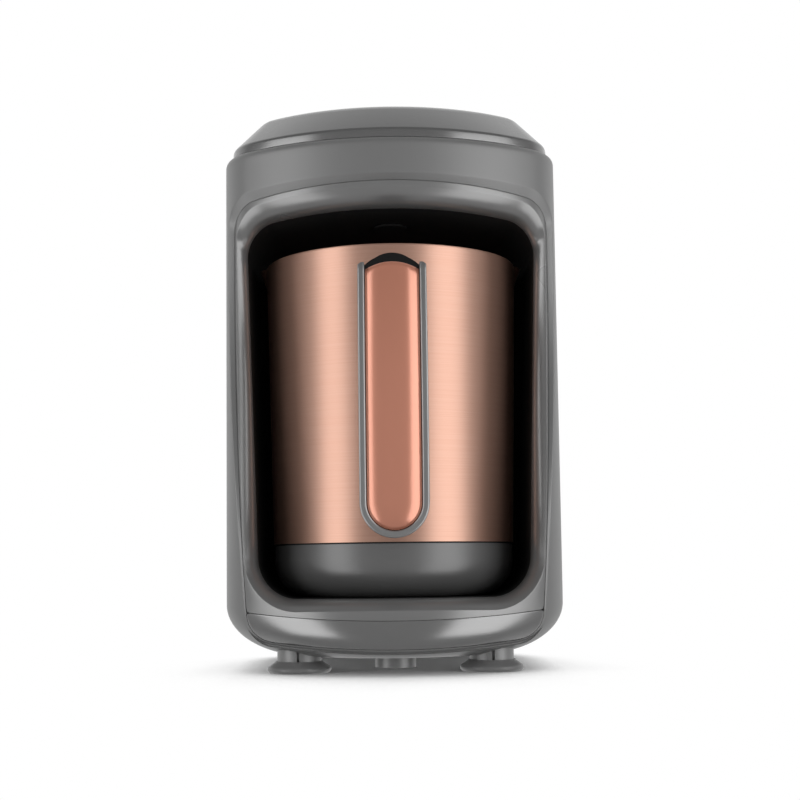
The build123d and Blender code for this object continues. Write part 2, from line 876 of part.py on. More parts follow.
socket_contacts.part.label = "socket_contacts"
export_step(socket_contacts.part, "parts/socket_contacts.step")


def round_lead(points, bend):
    """Insulated lead along straight runs joined by arcs."""
    with BuildPart() as lead:
        with BuildLine() as route:
            FilletPolyline(*points, radius=bend)
        with BuildSketch(Plane(origin=route.line @ 0, z_dir=route.line % 0)):
            Circle(lead_r)
        sweep(path=route.line)
    return lead.part


lead_top_z = terminal_bottom + terminal_size[2] / 2
terminal_back_y = board_back_y + terminal_size[1]
lead_back_y = tail_end_y + lead_run

with BuildPart() as socket_leads:
    for x in contact_xs:
        add(
            round_lead(
                [
                    (x, tail_end_y, socket_z),
                    (x, lead_back_y, socket_z),
                    (x, lead_back_y, lead_top_z),
                    (x, terminal_back_y, lead_top_z),
                ],
                lead_bend,
            )
        )

socket_leads.part.label = "socket_leads"
export_step(socket_leads.part, "parts/socket_leads.step")

ribbon_z = control_board_under - ribbon_size[1] / 2
ribbon_y = board_back_y + ribbon_size[1] / 2
ribbon_front_y = button_y + control_board_size[1] / 2 - ribbon_lap

with BuildPart() as ribbon_cable:
    with BuildLine() as ribbon_route:
        FilletPolyline(
            (ribbon_x, ribbon_front_y, ribbon_z),
            (ribbon_x, ribbon_y, ribbon_z),
            (ribbon_x, ribbon_y, power_board_bottom + power_board_size[2] - ribbon_lap),
            radius=ribbon_bend,
        )
    with BuildSketch(Plane(origin=ribbon_route.line @ 0, x_dir=(1, 0, 0), z_dir=ribbon_route.line % 0)):
        Rectangle(*ribbon_size)
    sweep(path=ribbon_route.line)

ribbon_cable.part.label = "ribbon_cable"
export_step(ribbon_cable.part, "parts/ribbon_cable.step")

# ---------------------------------------------------------------- cord gland

gland_front_y = back_reach - gland_inside
gland_face_y = back_reach + gland_flange
gland_end_y = gland_face_y + gland_nose
nut_back_y = back_reach - shell_wall - moulding_gap

with BuildPart() as cord_gland:
    add(rod_along_y(gland_body_r, gland_front_y, gland_end_y, [0], gland_z))
    add(rod_along_y(gland_flange_r, back_reach, gland_face_y, [0], gland_z))
    chamfer(cord_gland.edges().group_by(Axis.Y)[-1], gland_bevel)
    add(
        rod_along_y(gland_bore_r, gland_front_y - cut_over, gland_end_y + cut_over, [0], gland_z),
        mode=Mode.SUBTRACT,
    )

cord_gland.part.label = "cord_gland"
export_step(cord_gland.part, "parts/cord_gland.step")

with BuildPart() as gland_nut:
    with BuildSketch(Plane.XZ.offset(-nut_back_y)):
        with Locations((0, gland_z)):
            RegularPolygon(gland_nut_r, 6)
            Circle(gland_body_r + close_gap, mode=Mode.SUBTRACT)
    extrude(amount=gland_nut_depth)

gland_nut.part.label = "gland_nut"
export_step(gland_nut.part, "parts/gland_nut.step")

# ---------------------------------------------------------------- feet

with BuildPart() as foot:
    with BuildSketch(Plane.XZ):
        with BuildLine():
            Polyline(
                (0, foot_pad_hollow),
                (foot_post_r - foot_pad_hollow, foot_pad_hollow),
                (foot_post_r, 0),
                (foot_pad_r - foot_pad_edge, 0),
                (foot_pad_r, foot_pad_edge),
                (foot_pad_r, foot_pad_rim),
                (foot_post_r + moulding_gap, foot_pad_top),
                (foot_plug_r, foot_pad_top),
                (foot_plug_r, foot_pad_top + foot_plug),
                (0, foot_pad_top + foot_plug),
                close=True,
            )
        make_face()
    revolve(axis=Axis.Z)

for name, x, y in (
    ("foot_front_left", -foot_x, front_foot_y),
    ("foot_front_right", foot_x, front_foot_y),
    ("foot_rear_left", -foot_x, rear_foot_y),
    ("foot_rear_right", foot_x, rear_foot_y),
):
    pad = foot.part.moved(Location((x, y, 0)))
    pad.label = name
    export_step(pad, f"parts/{name}.step")

# ---------------------------------------------------------------- service cover

with BuildPart() as service_cover:
    with BuildSketch(Plane.XY.offset(body_bottom)):
        with Locations((0, (service_front_y + service_back_y) / 2)):
            RectangleRounded(
                2 * service_half_width - moulding_gap,
                service_back_y - service_front_y - moulding_gap,
                service_corner,
            )
    extrude(amount=service_plate)
    add(housing_form(0, body_bottom, housing_top), mode=Mode.INTERSECT)
    with BuildSketch(Plane.XY.offset(centre_post_bottom)):
        with Locations((0, centre_post_y)):
            Circle(centre_post_r)
    extrude(amount=body_bottom - centre_post_bottom)
    with Locations(*[(x, y, body_bottom) for x, y in service_screw_places]):
        Cylinder(
            screw_head_r + moulding_gap,
            screw_head_h,
            align=(Align.CENTER, Align.CENTER, Align.MIN),
            mode=Mode.SUBTRACT,
        )
        Cylinder(screw_r + moulding_gap / 2, 4 * service_plate, mode=Mode.SUBTRACT)

service_cover.part.label = "service_cover"
export_step(service_cover.part, "parts/service_cover.step")

service_screws = screws(
    [(x, y, body_bottom + screw_head_h) for x, y in service_screw_places], service_screw_length
)
service_screws.label = "service_screws"
export_step(service_screws, "parts/service_screws.step")

# ---------------------------------------------------------------- pot vessel

vessel_taper = (vessel_top_r - vessel_bottom_r) / (vessel_top - vessel_bottom)
floor_under = vessel_floor - vessel_wall


def vessel_r(height):
    """Outer radius of the vessel at a height."""
    return vessel_bottom_r + vessel_taper * (height - vessel_bottom)


def vessel_form(grow, bottom, top):
    """Tapered form of the vessel between two heights, grown by grow all round."""
    with BuildPart() as form:
        with Locations((0, 0, bottom)):
            Cone(
                vessel_r(bottom) + grow,
                vessel_r(top) + grow,
                top - bottom,
                align=(Align.CENTER, Align.CENTER, Align.MIN),
            )
    return form.part


def lips(wall):
    """Both pouring lips as closed forms, drawn in by wall."""
    with BuildPart() as form:
        with Locations(
            (lip_r - lip_reach, 0, vessel_top - lip_depth), (lip_reach - lip_r, 0, vessel_top - lip_depth)
        ):
            Cone(
                lip_root_r - wall,
                lip_r - wall,
                lip_depth,
                align=(Align.CENTER, Align.CENTER, Align.MIN),
            )
    return form.part


with BuildPart() as pot_vessel:
    add(vessel_form(0, vessel_bottom, vessel_top))
    add(lips(0))
    add(vessel_form(-vessel_wall, vessel_floor, vessel_top), mode=Mode.SUBTRACT)
    add(vessel_form(-vessel_wall, vessel_bottom, floor_under), mode=Mode.SUBTRACT)
    add(lips(vessel_wall), mode=Mode.SUBTRACT)

pot_vessel.part.label = "pot_vessel"
export_step(pot_vessel.part, "parts/pot_vessel.step")

# ---------------------------------------------------------------- pot base

pot_base_top = vessel_bottom - gasket
spigot_r = vessel_bottom_r - vessel_wall - moulding_gap
hatch_screw_ring = pot_hatch_r - hatch_ledge / 2
hatch_seat = pot_base_bottom + hatch_recess


def bowl(radius, bottom, top, corner):
    """Closed upright cylinder with a rounded lower edge."""
    with BuildPart() as form:
        with Locations((0, 0, bottom)):
            Cylinder(radius, top - bottom, align=(Align.CENTER, Align.CENTER, Align.MIN))
        fillet(form.edges().group_by(Axis.Z)[0], corner)
    return form.part


with BuildPart() as pot_base:
    add(bowl(pot_base_r, pot_base_bottom, pot_base_top, pot_base_round))
    with Locations((0, 0, pot_base_top)):
        Cylinder(spigot_r, spigot_height, align=(Align.CENTER, Align.CENTER, Align.MIN))
    add(
        bowl(
            spigot_r - spigot_wall,
            pot_base_bottom + pot_base_floor,
            pot_base_top + spigot_height,
            pot_base_round - pot_base_wall,
        ),
        mode=Mode.SUBTRACT,
    )
    # Posts for the hatch's screws, and the stepped opening for the hatch
    with BuildSketch(Plane.XY.offset(hatch_seat)):
        with PolarLocations(hatch_screw_ring, hatch_screws, start_angle=-90):
            Circle(hatch_post_r)
    extrude(amount=pot_base_floor - hatch_recess + hatch_post)
    with BuildSketch(Plane.XY.offset(hatch_seat)):
        with PolarLocations(hatch_screw_ring, hatch_screws, start_angle=-90):
            Circle(pilot_r)
    extrude(amount=hatch_screw_length, mode=Mode.SUBTRACT)
    with Locations((0, 0, pot_base_bottom)):
        Cylinder(
            pot_hatch_r, hatch_recess, align=(Align.CENTER, Align.CENTER, Align.MIN), mode=Mode.SUBTRACT
        )
        Cylinder(
            pot_hatch_r - hatch_ledge,
            pot_base_floor,
            align=(Align.CENTER, Align.CENTER, Align.MIN),
            mode=Mode.SUBTRACT,
        )
    # Window for the plug
    with Locations((0, plug_back_y, socket_z)):
        Box(
            plug_size[0] + moulding_gap,
            pot_base_r,
            plug_size[1] + moulding_gap,
            align=(Align.CENTER, Align.MIN, Align.CENTER),
            mode=Mode.SUBTRACT,
        )

pot_base.part.label = "pot_base"
export_step(pot_base.part, "parts/pot_base.step")

with BuildPart() as pot_gasket:
    with BuildSketch(Plane.XY.offset(pot_base_top)):
        Circle(vessel_bottom_r - moulding_gap / 2)
        Circle(spigot_r + close_gap, mode=Mode.SUBTRACT)
    extrude(amount=gasket)

pot_gasket.part.label = "pot_gasket"
export_step(pot_gasket.part, "parts/pot_gasket.step")

hatch_under = hatch_seat - pot_hatch
hatch_head_seat = hatch_under + screw_head_h

with BuildPart() as pot_hatch_cover:
    with BuildSketch(Plane.XY.offset(hatch_under)):
        Circle(pot_hatch_r - moulding_gap)
    extrude(amount=pot_hatch)
    with BuildSketch(Plane.XY.offset(hatch_under)):
        with PolarLocations(hatch_screw_ring, hatch_screws, start_angle=-90):
            Circle(screw_head_r + moulding_gap / 2)
    extrude(amount=screw_head_h, mode=Mode.SUBTRACT)
    with BuildSketch(Plane.XY.offset(hatch_under)):
        with PolarLocations(hatch_screw_ring, hatch_screws, start_angle=-90):
            Circle(screw_r + moulding_gap / 2)
    extrude(amount=pot_hatch, mode=Mode.SUBTRACT)

pot_hatch_cover.part.label = "pot_hatch_cover"
export_step(pot_hatch_cover.part, "parts/pot_hatch_cover.step")

with BuildPart() as pot_hatch_screws:
    with BuildSketch(Plane.XY.offset(hatch_head_seat)):
        with PolarLocations(hatch_screw_ring, hatch_screws, start_angle=-90):
            Circle(screw_r)
    extrude(amount=hatch_screw_length)
    with BuildSketch(Plane.XY.offset(hatch_under)):
        with PolarLocations(hatch_screw_ring, hatch_screws, start_angle=-90):
            Circle(screw_head_r)
    extrude(amount=screw_head_h)

pot_hatch_screws.part.label = "pot_hatch_screws"
export_step(pot_hatch_screws.part, "parts/pot_hatch_screws.step")

# ---------------------------------------------------------------- heater in the pot base

heater_under = floor_under - heater_plate_h
element_z = heater_under - element_r
element_gap_half = (360 - element_sweep) / 2
element_start = 90 + element_gap_half
element_end_x = element_ring_r * sin(radians(element_gap_half))
element_end_y = element_ring_r * cos(radians(element_gap_half))

with BuildPart() as heater_plate:
    with Locations((0, 0, heater_under)):
        Cylinder(heater_r, heater_plate_h, align=(Align.CENTER, Align.CENTER, Align.MIN))

heater_plate.part.label = "heater_plate"
export_step(heater_plate.part, "parts/heater_plate.step")

with BuildPart() as heating_element:
    with BuildLine(Plane.XY.offset(element_z)) as element_route:
        CenterArc((0, 0), element_ring_r, element_start, element_sweep)
    with BuildSketch(Plane(origin=element_route.line @ 0, z_dir=element_route.line % 0)):
        Circle(element_r)
    sweep(path=element_route.line)
    with Locations(
        (-element_end_x, element_end_y, element_tail_bottom),
        (element_end_x, element_end_y, element_tail_bottom),
    ):
        Cylinder(
            element_tail_r,
            element_z - element_tail_bottom,
            align=(Align.CENTER, Align.CENTER, Align.MIN),
        )

heating_element.part.label = "heating_element"
export_step(heating_element.part, "parts/heating_element.step")

with BuildPart() as thermostat:
    with Locations((0, 0, heater_under)):
        Cylinder(thermostat_r, thermostat_h, align=(Align.CENTER, Align.CENTER, Align.MAX))
    chamfer(thermostat.edges().group_by(Axis.Z)[0], component_edge)

thermostat.part.label = "thermostat"
export_step(thermostat.part, "parts/thermostat.step")

with BuildPart() as thermal_fuse:
    with Locations(Plane((0, fuse_y, heater_under - fuse_r), z_dir=(1, 0, 0))):
        Cylinder(fuse_r, fuse_length)
    chamfer(thermal_fuse.edges().filter_by(GeomType.CIRCLE), fuse_r / 4)

thermal_fuse.part.label = "thermal_fuse"
export_step(thermal_fuse.part, "parts/thermal_fuse.step")

# ---------------------------------------------------------------- plug of the pot

pin_back_y = plug_face_y + pin_reach
pin_front_y = plug_back_y - pin_root

with BuildPart() as pot_plug:
    with Locations((0, plug_back_y, socket_z)):
        Box(
            plug_size[0],
            plug_face_y - plug_back_y,
            plug_size[1],
            align=(Align.CENTER, Align.MIN, Align.CENTER),
        )
        fillet(pot_plug.edges().filter_by(Axis.Y), component_edge)
        Box(
            plug_size[0] + 2 * plug_flange_lip,
            plug_flange,
            plug_size[1] + 2 * plug_flange_lip,
            align=(Align.CENTER, Align.MIN, Align.CENTER),
        )
    add(
        rod_along_y(pin_r + close_gap, plug_back_y, plug_face_y, contact_xs, socket_z),
        mode=Mode.SUBTRACT,
    )

pot_plug.part.label = "pot_plug"
export_step(pot_plug.part, "parts/pot_plug.step")

with BuildPart() as plug_pins:
    add(rod_along_y(pin_r, pin_front_y, pin_back_y, contact_xs, socket_z))
    chamfer(plug_pins.edges().group_by(Axis.Y)[-1], pin_r / 4)

plug_pins.part.label = "plug_pins"
export_step(plug_pins.part, "parts/plug_pins.step")

with BuildPart() as pot_leads:
    for side in (-1, 1):
        add(
            round_lead(
                [
                    (side * contact_pitch, pin_front_y, socket_z),
                    (side * contact_pitch, element_end_y, socket_z),
                    (side * element_end_x, element_end_y, socket_z),
                    (side * element_end_x, element_end_y, element_tail_bottom),
                ],
                pot_lead_bend,
            )
        )

pot_leads.part.label = "pot_leads"
export_step(pot_leads.part, "parts/pot_leads.step")

# ---------------------------------------------------------------- handle

grip_centre_y = grip_front_y + grip_bow
slot_half = grip_half - rail
inner_half = slot_half - insert_gap
inner_bottom = grip_bottom + rail + insert_gap


def grip_outline(half, bottom, side_top, top):
    """Upright outline in the XZ plane with a round bottom end and an arched top."""
    with BuildSketch(Plane.XZ) as outline:
        with BuildLine():
            ThreePointArc((-half, bottom + half), (0, bottom), (half, bottom + half))
            Line((half, bottom + half), (half, side_top))
            ThreePointArc((half, side_top), (0, top), (-half, side_top))
            Line((-half, side_top), (-half, bottom + half))
        make_face()
    return outline.sketch


def bowed_slab(outline, front_depth, back_depth):
    """Slab between two depths behind the grip's bowed front, cut to an outline."""
    with BuildPart() as slab:
        extrude(outline, amount=cut_over - grip_front_y)
        with BuildSketch(Plane.YZ.offset(-body_width / 2)):
            with Locations((grip_centre_y, grip_middle_z)):
                Circle(grip_bow - front_depth)
                Circle(grip_bow - back_depth, mode=Mode.SUBTRACT)
        extrude(amount=body_width, mode=Mode.INTERSECT)
    return slab.part


def at_depth(edge, depth):
    """True for an edge that lies at that depth behind the grip's bowed front."""
    return all(
        abs(hypot((edge @ t).Y - grip_centre_y, (edge @ t).Z - grip_middle_z) - grip_bow + depth) < 0.01
        for t in (0, 0.5, 1)
    )


with BuildSketch(Plane.XZ) as frame_sides:
    with BuildLine():
        ThreePointArc(
            (-grip_half, grip_bottom + grip_half), (0, grip_bottom), (grip_half, grip_bottom + grip_half)
        )
        Polyline(
            (grip_half, grip_bottom + grip_half),
            (grip_half, rail_top),
            (-grip_half, rail_top),
            (-grip_half, grip_bottom + grip_half),
        )
    make_face()
    fillet(frame_sides.vertices().group_by(Axis.Y)[-1], rail_top_corner)
    add(grip_outline(slot_half, grip_bottom + rail, rail_top, rail_top + slot_half), mode=Mode.SUBTRACT)

with BuildPart() as handle_frame:
    add(bowed_slab(frame_sides.sketch, 0, rail_depth))
    fillet(handle_frame.edges().filter_by(lambda edge: at_depth(edge, 0)), rail_edge)

handle_frame.part.label = "handle_frame"
export_step(handle_frame.part, "parts/handle_frame.step")

with BuildPart() as handle_insert:
    add(
        bowed_slab(
            grip_outline(inner_half, inner_bottom, insert_top_side, insert_top), -insert_proud, insert_back
        )
    )
    fillet(handle_insert.edges().filter_by(lambda edge: at_depth(edge, -insert_proud)), insert_edge)

handle_insert.part.label = "handle_insert"
export_step(handle_insert.part, "parts/handle_insert.step")

backing_half = grip_half - grip_back_inset
arm_front_y = grip_front_y + grip_depth

with BuildPart() as handle_core:
    add(
        bowed_slab(
            grip_outline(backing_half, grip_bottom + grip_back_inset, arch_side, arch_top + grip_back_inset),
            rail_depth + close_gap,
            grip_depth,
        )
    )
    fillet(handle_core.edges().filter_by(lambda edge: at_depth(edge, grip_depth)), grip_back_edge)
    add(
        bowed_slab(
            grip_outline(inner_half, inner_bottom, arch_side, arch_top),
            insert_back + close_gap,
            (rail_depth + grip_depth) / 2,
        )
    )
    for middle in arm_middles:
        with Locations((0, arm_front_y, middle)):
            Box(2 * arm_half, -arm_front_y, arm_height, align=(Align.CENTER, Align.MIN, Align.CENTER))
    add(vessel_form(moulding_gap, vessel_bottom, vessel_top), mode=Mode.SUBTRACT)
    # Pockets for the brackets and their screws
    for middle in arm_middles:
        screw_place_y = -vessel_r(middle) - arm_screw_y
        with Locations((0, 0, middle)):
            Box(
                2 * bracket_half + moulding_gap,
                2 * (vessel_r(middle) + bracket_plate + moulding_gap),
                bracket_height + moulding_gap,
                mode=Mode.SUBTRACT,
            )
            Box(
                2 * bracket_half + moulding_gap,
                2 * (vessel_r(middle) + bracket_reach + moulding_gap),
                bracket_plate + 2 * close_gap,
                mode=Mode.SUBTRACT,
            )
        with Locations((0, screw_place_y, middle - arm_height / 2)):
            Cylinder(
                screw_head_r + moulding_gap / 2,
                screw_head_h,
                align=(Align.CENTER, Align.CENTER, Align.MIN),
                mode=Mode.SUBTRACT,
            )
            Cylinder(
                pilot_r,
                screw_head_h + arm_screw_length + moulding_gap,
                align=(Align.CENTER, Align.CENTER, Align.MIN),
                mode=Mode.SUBTRACT,
            )

handle_core.part.label = "handle_core"
export_step(handle_core.part, "parts/handle_core.step")

with BuildPart() as handle_brackets:
    for middle in arm_middles:
        screw_place_y = -vessel_r(middle) - arm_screw_y
        with Locations((0, 0, middle)):
            Box(
                2 * bracket_half,
                vessel_r(middle) + bracket_plate,
                bracket_height,
                align=(Align.CENTER, Align.MAX, Align.CENTER),
            )
            Box(
                2 * bracket_half,
                vessel_r(middle) + bracket_reach,
                bracket_plate,
                align=(Align.CENTER, Align.MAX, Align.CENTER),
            )
        with Locations((0, screw_place_y, middle)):
            Cylinder(pilot_r, 2 * bracket_plate, mode=Mode.SUBTRACT)
    add(vessel_form(close_gap, vessel_bottom, vessel_top), mode=Mode.SUBTRACT)

handle_brackets.part.label = "handle_brackets"
export_step(handle_brackets.part, "parts/handle_brackets.step")

handle_screws = screws(
    [
        (0, -vessel_r(middle) - arm_screw_y, middle - arm_height / 2 + screw_head_h)
        for middle in arm_middles
    ],
    arm_screw_length,
)
handle_screws.label = "handle_screws"
export_step(handle_screws, "parts/handle_screws.step")
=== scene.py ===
import math

import bmesh
import bpy
from mathutils import Matrix, Vector


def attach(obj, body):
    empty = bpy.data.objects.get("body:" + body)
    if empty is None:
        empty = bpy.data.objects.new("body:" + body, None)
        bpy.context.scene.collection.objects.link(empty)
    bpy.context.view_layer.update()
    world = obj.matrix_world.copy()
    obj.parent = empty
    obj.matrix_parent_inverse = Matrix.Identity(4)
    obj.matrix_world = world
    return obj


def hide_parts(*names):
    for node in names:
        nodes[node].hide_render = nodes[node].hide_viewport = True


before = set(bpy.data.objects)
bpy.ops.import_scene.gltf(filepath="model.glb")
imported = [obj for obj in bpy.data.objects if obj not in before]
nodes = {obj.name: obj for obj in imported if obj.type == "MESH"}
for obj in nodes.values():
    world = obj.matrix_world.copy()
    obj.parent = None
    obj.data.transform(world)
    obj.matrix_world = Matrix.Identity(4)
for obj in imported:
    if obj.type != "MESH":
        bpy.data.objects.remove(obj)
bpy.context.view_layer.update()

# ---------------------------------------------------------------- camera, floor and light

# The camera stands low in front of the machine and looks slightly upwards. Its lens and shift
# frame the machine in a square picture.
pitch, roll = math.radians(5.2), math.radians(0.65)
ahead = Vector((0, math.cos(pitch), math.sin(pitch)))
level_up = Vector((1, 0, 0)).cross(ahead)
camera_right = Vector((1, 0, 0)) * math.cos(roll) - level_up * math.sin(roll)
camera_up = Vector((1, 0, 0)) * math.sin(roll) + level_up * math.cos(roll)
camera_place = Vector((-0.004, -0.606, 0.0425))
camera_data = bpy.data.cameras.new("camera")
camera_data.lens, camera_data.sensor_width = 63.09, 36.0
camera_data.shift_x, camera_data.shift_y = 0.02110, 0.04677
camera_data.clip_start, camera_data.clip_end = 0.01, 30
camera = bpy.data.objects.new("camera", camera_data)
bpy.context.scene.collection.objects.link(camera)
turned = Matrix((camera_right, camera_up, -ahead)).transposed().to_4x4()
camera.matrix_world = Matrix.Translation(camera_place) @ turned
bpy.context.scene.camera = camera
bpy.context.scene.view_settings.view_transform = "Standard"

# The floor is a wide white sheet. Where nothing stands near it, the camera sees it as plain as
# the white surroundings; close to the machine it keeps the soft shadow. Nearness is measured
# leaning backwards, so the shadow is kept mostly in front of the machine.
floor_half, floor_front, floor_back = 8, -3, 14
floor_mesh = bpy.data.meshes.new("floor")
floor_mesh.from_pydata(
    [
        (-floor_half, floor_front, 0), (floor_half, floor_front, 0),
        (floor_half, floor_back, 0), (-floor_half, floor_back, 0),
    ],
    [],
    [(0, 1, 2, 3)],
)
floor = bpy.data.objects.new("floor", floor_mesh)
bpy.context.scene.collection.objects.link(floor)
floor_white = bpy.data.materials.new("floor_white")
floor_white.use_nodes = True
t = floor_white.node_tree
paint = t.nodes["Principled BSDF"]
paint.inputs["Base Color"].default_value = (0.9, 0.9, 0.9, 1)
paint.inputs["Roughness"].default_value = 0.9
paint.inputs["Specular IOR Level"].default_value = 0.1
openness = t.nodes.new("ShaderNodeAmbientOcclusion")
openness.samples = 8
openness.inputs["Distance"].default_value = 0.12
leaning = t.nodes.new("ShaderNodeCombineXYZ")
leaning.inputs["Y"].default_value = 0.6
leaning.inputs["Z"].default_value = 0.8
t.links.new(leaning.outputs[0], openness.inputs["Normal"])
clear_floor = t.nodes.new("ShaderNodeMapRange")
clear_floor.interpolation_type = "SMOOTHSTEP"
clear_floor.inputs["From Min"].default_value = 0.25
clear_floor.inputs["From Max"].default_value = 0.66
t.links.new(openness.outputs["AO"], clear_floor.inputs["Value"])
floor_rays = t.nodes.new("ShaderNodeLightPath")
seen_clear = t.nodes.new("ShaderNodeMath")
seen_clear.operation = "MULTIPLY"
t.links.new(clear_floor.outputs["Result"], seen_clear.inputs[0])
t.links.new(floor_rays.outputs["Is Camera Ray"], seen_clear.inputs[1])
plain_white = t.nodes.new("ShaderNodeEmission")
plain_white.inputs["Color"].default_value = (1, 1, 1, 1)
floor_mix = t.nodes.new("ShaderNodeMixShader")
t.links.new(seen_clear.outputs[0], floor_mix.inputs["Fac"])
t.links.new(paint.outputs[0], floor_mix.inputs[1])
t.links.new(plain_white.outputs[0], floor_mix.inputs[2])
# What mirrors the floor sees the soft boxes through it, as if they shone in a polished sheet
see_through = t.nodes.new("ShaderNodeBsdfTransparent")
mirror_mix = t.nodes.new("ShaderNodeMixShader")
t.links.new(floor_rays.outputs["Is Glossy Ray"], mirror_mix.inputs["Fac"])
t.links.new(floor_mix.outputs[0], mirror_mix.inputs[1])
t.links.new(see_through.outputs[0], mirror_mix.inputs[2])
t.links.new(mirror_mix.outputs[0], t.nodes["Material Output"].inputs["Surface"])
floor_mesh.materials.append(floor_white)

# Behind the machine the surroundings are plain white, for the camera and for what reflects
# them. In front and above they are a dim studio grey, as in a room behind the camera.
world = bpy.data.worlds.new("studio")
world.use_nodes = True
bpy.context.scene.world = world
sky = world.node_tree
for node in list(sky.nodes):
    sky.nodes.remove(node)
where = sky.nodes.new("ShaderNodeTexCoord")
split = sky.nodes.new("ShaderNodeSeparateXYZ")
sky.links.new(where.outputs["Generated"], split.inputs[0])
fade = sky.nodes.new("ShaderNodeValToRGB")
fade.color_ramp.elements[0].position = 0.15
fade.color_ramp.elements[0].color = (0.42, 0.42, 0.42, 1)
fade.color_ramp.elements[1].position = 0.75
fade.color_ramp.elements[1].color = (0.15, 0.15, 0.15, 1)
sky.links.new(split.outputs["Z"], fade.inputs["Fac"])
soft_sky = sky.nodes.new("ShaderNodeBackground")
sky.links.new(fade.outputs["Color"], soft_sky.inputs["Color"])
white_sky = sky.nodes.new("ShaderNodeBackground")
white_sky.inputs["Color"].default_value = (1, 1, 1, 1)
behind = sky.nodes.new("ShaderNodeMapRange")
behind.inputs["From Min"].default_value = 0.0
behind.inputs["From Max"].default_value = 0.5
sky.links.new(split.outputs["Y"], behind.inputs["Value"])
rays = sky.nodes.new("ShaderNodeLightPath")
mirrored = sky.nodes.new("ShaderNodeMath")
mirrored.operation = "MAXIMUM"
sky.links.new(rays.outputs["Is Glossy Ray"], mirrored.inputs[0])
sky.links.new(rays.outputs["Is Transmission Ray"], mirrored.inputs[1])
mirrored_back = sky.nodes.new("ShaderNodeMath")
mirrored_back.operation = "MULTIPLY"
sky.links.new(mirrored.outputs[0], mirrored_back.inputs[0])
sky.links.new(behind.outputs["Result"], mirrored_back.inputs[1])
shows_white = sky.nodes.new("ShaderNodeMath")
shows_white.operation = "MAXIMUM"
sky.links.new(mirrored_back.outputs[0], shows_white.inputs[0])
sky.links.new(rays.outputs["Is Camera Ray"], shows_white.inputs[1])
mix_sky = sky.nodes.new("ShaderNodeMixShader")
sky_out = sky.nodes.new("ShaderNodeOutputWorld")
sky.links.new(shows_white.outputs[0], mix_sky.inputs["Fac"])
sky.links.new(soft_sky.outputs[0], mix_sky.inputs[1])
sky.links.new(white_sky.outputs[0], mix_sky.inputs[2])
sky.links.new(mix_sky.outputs[0], sky_out.inputs["Surface"])

# Two large soft boxes stand left and right in front of the machine. Their lower halves reach
# below the floor, where they show only in what mirrors them.
box_distance, box_height, lit_spot = 1.2, -0.06, Vector((0, -0.03, 0.12))
for name, angle, size, power in (
    ("box_left", -54, (0.62, 2.0), 8.8),
    ("box_right", 50, (0.80, 2.0), 11.5),
):
    lamp_data = bpy.data.lights.new(name, "AREA")
    lamp_data.shape = "RECTANGLE"
    lamp_data.size, lamp_data.size_y = size
    lamp_data.energy = power
    lamp = bpy.data.objects.new(name, lamp_data)
    bpy.context.scene.collection.objects.link(lamp)
    turn = math.radians(angle)
    lamp.location = (box_distance * math.sin(turn), -box_distance * math.cos(turn), box_height)
    aim = lit_spot - lamp.location
    lamp.rotation_euler = aim.to_track_quat("-Z", "Y").to_euler()

# ---------------------------------------------------------------- housing

# The housing is one satin grey moulding: sides, back, bottom and the band across the head, with
# a wide window in its front. Its surface is laid out by two running numbers: one counts along
# its plan from the middle of the front (0) to the middle of the back (5), the other counts up
# from the flat bottom (0) over the rounded edge (1) and the wall (2) to the shoulder (3).
half_width = 0.0688
front_r, front_middle_y = 0.100, 0.034
back_r, back_middle_y = 0.260, -0.172
corner_r, back_corner_r = 0.025, 0.030
corner_x = half_width - corner_r
corner_y = front_middle_y - math.sqrt((front_r - corner_r) ** 2 - corner_x**2)
back_corner_x = half_width - back_corner_r
back_corner_y = back_middle_y + math.sqrt((back_r - back_corner_r) ** 2 - back_corner_x**2)
front_turn = math.atan2(corner_x, front_middle_y - corner_y)
back_turn = math.atan2(back_corner_x, back_corner_y - back_middle_y)
bottom_z, wall_top, housing_top, shoulder = 0.0064, 0.2083, 0.2115, 0.0028
edge_high, edge_wide, edge_deep = 0.0206, 0.0325, 0.0100


def plan_point(along, inset):
    """Place on the housing's plan, drawn in by inset; a negative number counts to the left."""
    step = abs(along)
    if step <= 1:
        x = (front_r - inset) * math.sin(front_turn * step)
        y = front_middle_y - (front_r - inset) * math.cos(front_turn * step)
    elif step <= 2:
        angle = front_turn + (step - 1) * (math.pi / 2 - front_turn)
        x = corner_x + (corner_r - inset) * math.sin(angle)
        y = corner_y - (corner_r - inset) * math.cos(angle)
    elif step <= 3:
        x, y = half_width - inset, corner_y + (step - 2) * (back_corner_y - corner_y)
    elif step <= 4:
        angle = (step - 3) * (math.pi / 2 - back_turn)
        x = back_corner_x + (back_corner_r - inset) * math.cos(angle)
        y = back_corner_y + (back_corner_r - inset) * math.sin(angle)
    else:
        x = (back_r - inset) * math.sin(back_turn * (5 - step))
        y = back_middle_y + (back_r - inset) * math.cos(back_turn * (5 - step))
    return (-x if along < 0 else x), y


def housing_level(up):
    """Height, inset and narrowing of the housing's plan at a number counted upwards."""
    if up <= 1:
        angle = up * math.pi / 2
        inset = edge_deep * (1 - math.sin(angle))
        narrow = (half_width - edge_wide * (1 - math.sin(angle))) / (half_width - inset)
        return bottom_z + edge_high * (1 - math.cos(angle)), inset, narrow
    if up <= 2:
        wall_bottom = bottom_z + edge_high
        return wall_bottom + (up - 1) * (wall_top - wall_bottom), 0, 1
    angle = (up - 2) * math.pi / 2
    rise = wall_top + (housing_top - wall_top) * math.sin(angle)
    return rise, shoulder * (1 - math.cos(angle)), 1


def housing_point(along, up, sink=0.0):
    """Place on the housing's surface, sunk below it by sink."""
    height, inset, narrow = housing_level(up)
    x, y = plan_point(along, inset + sink)
    return Vector((x * narrow, y, height))


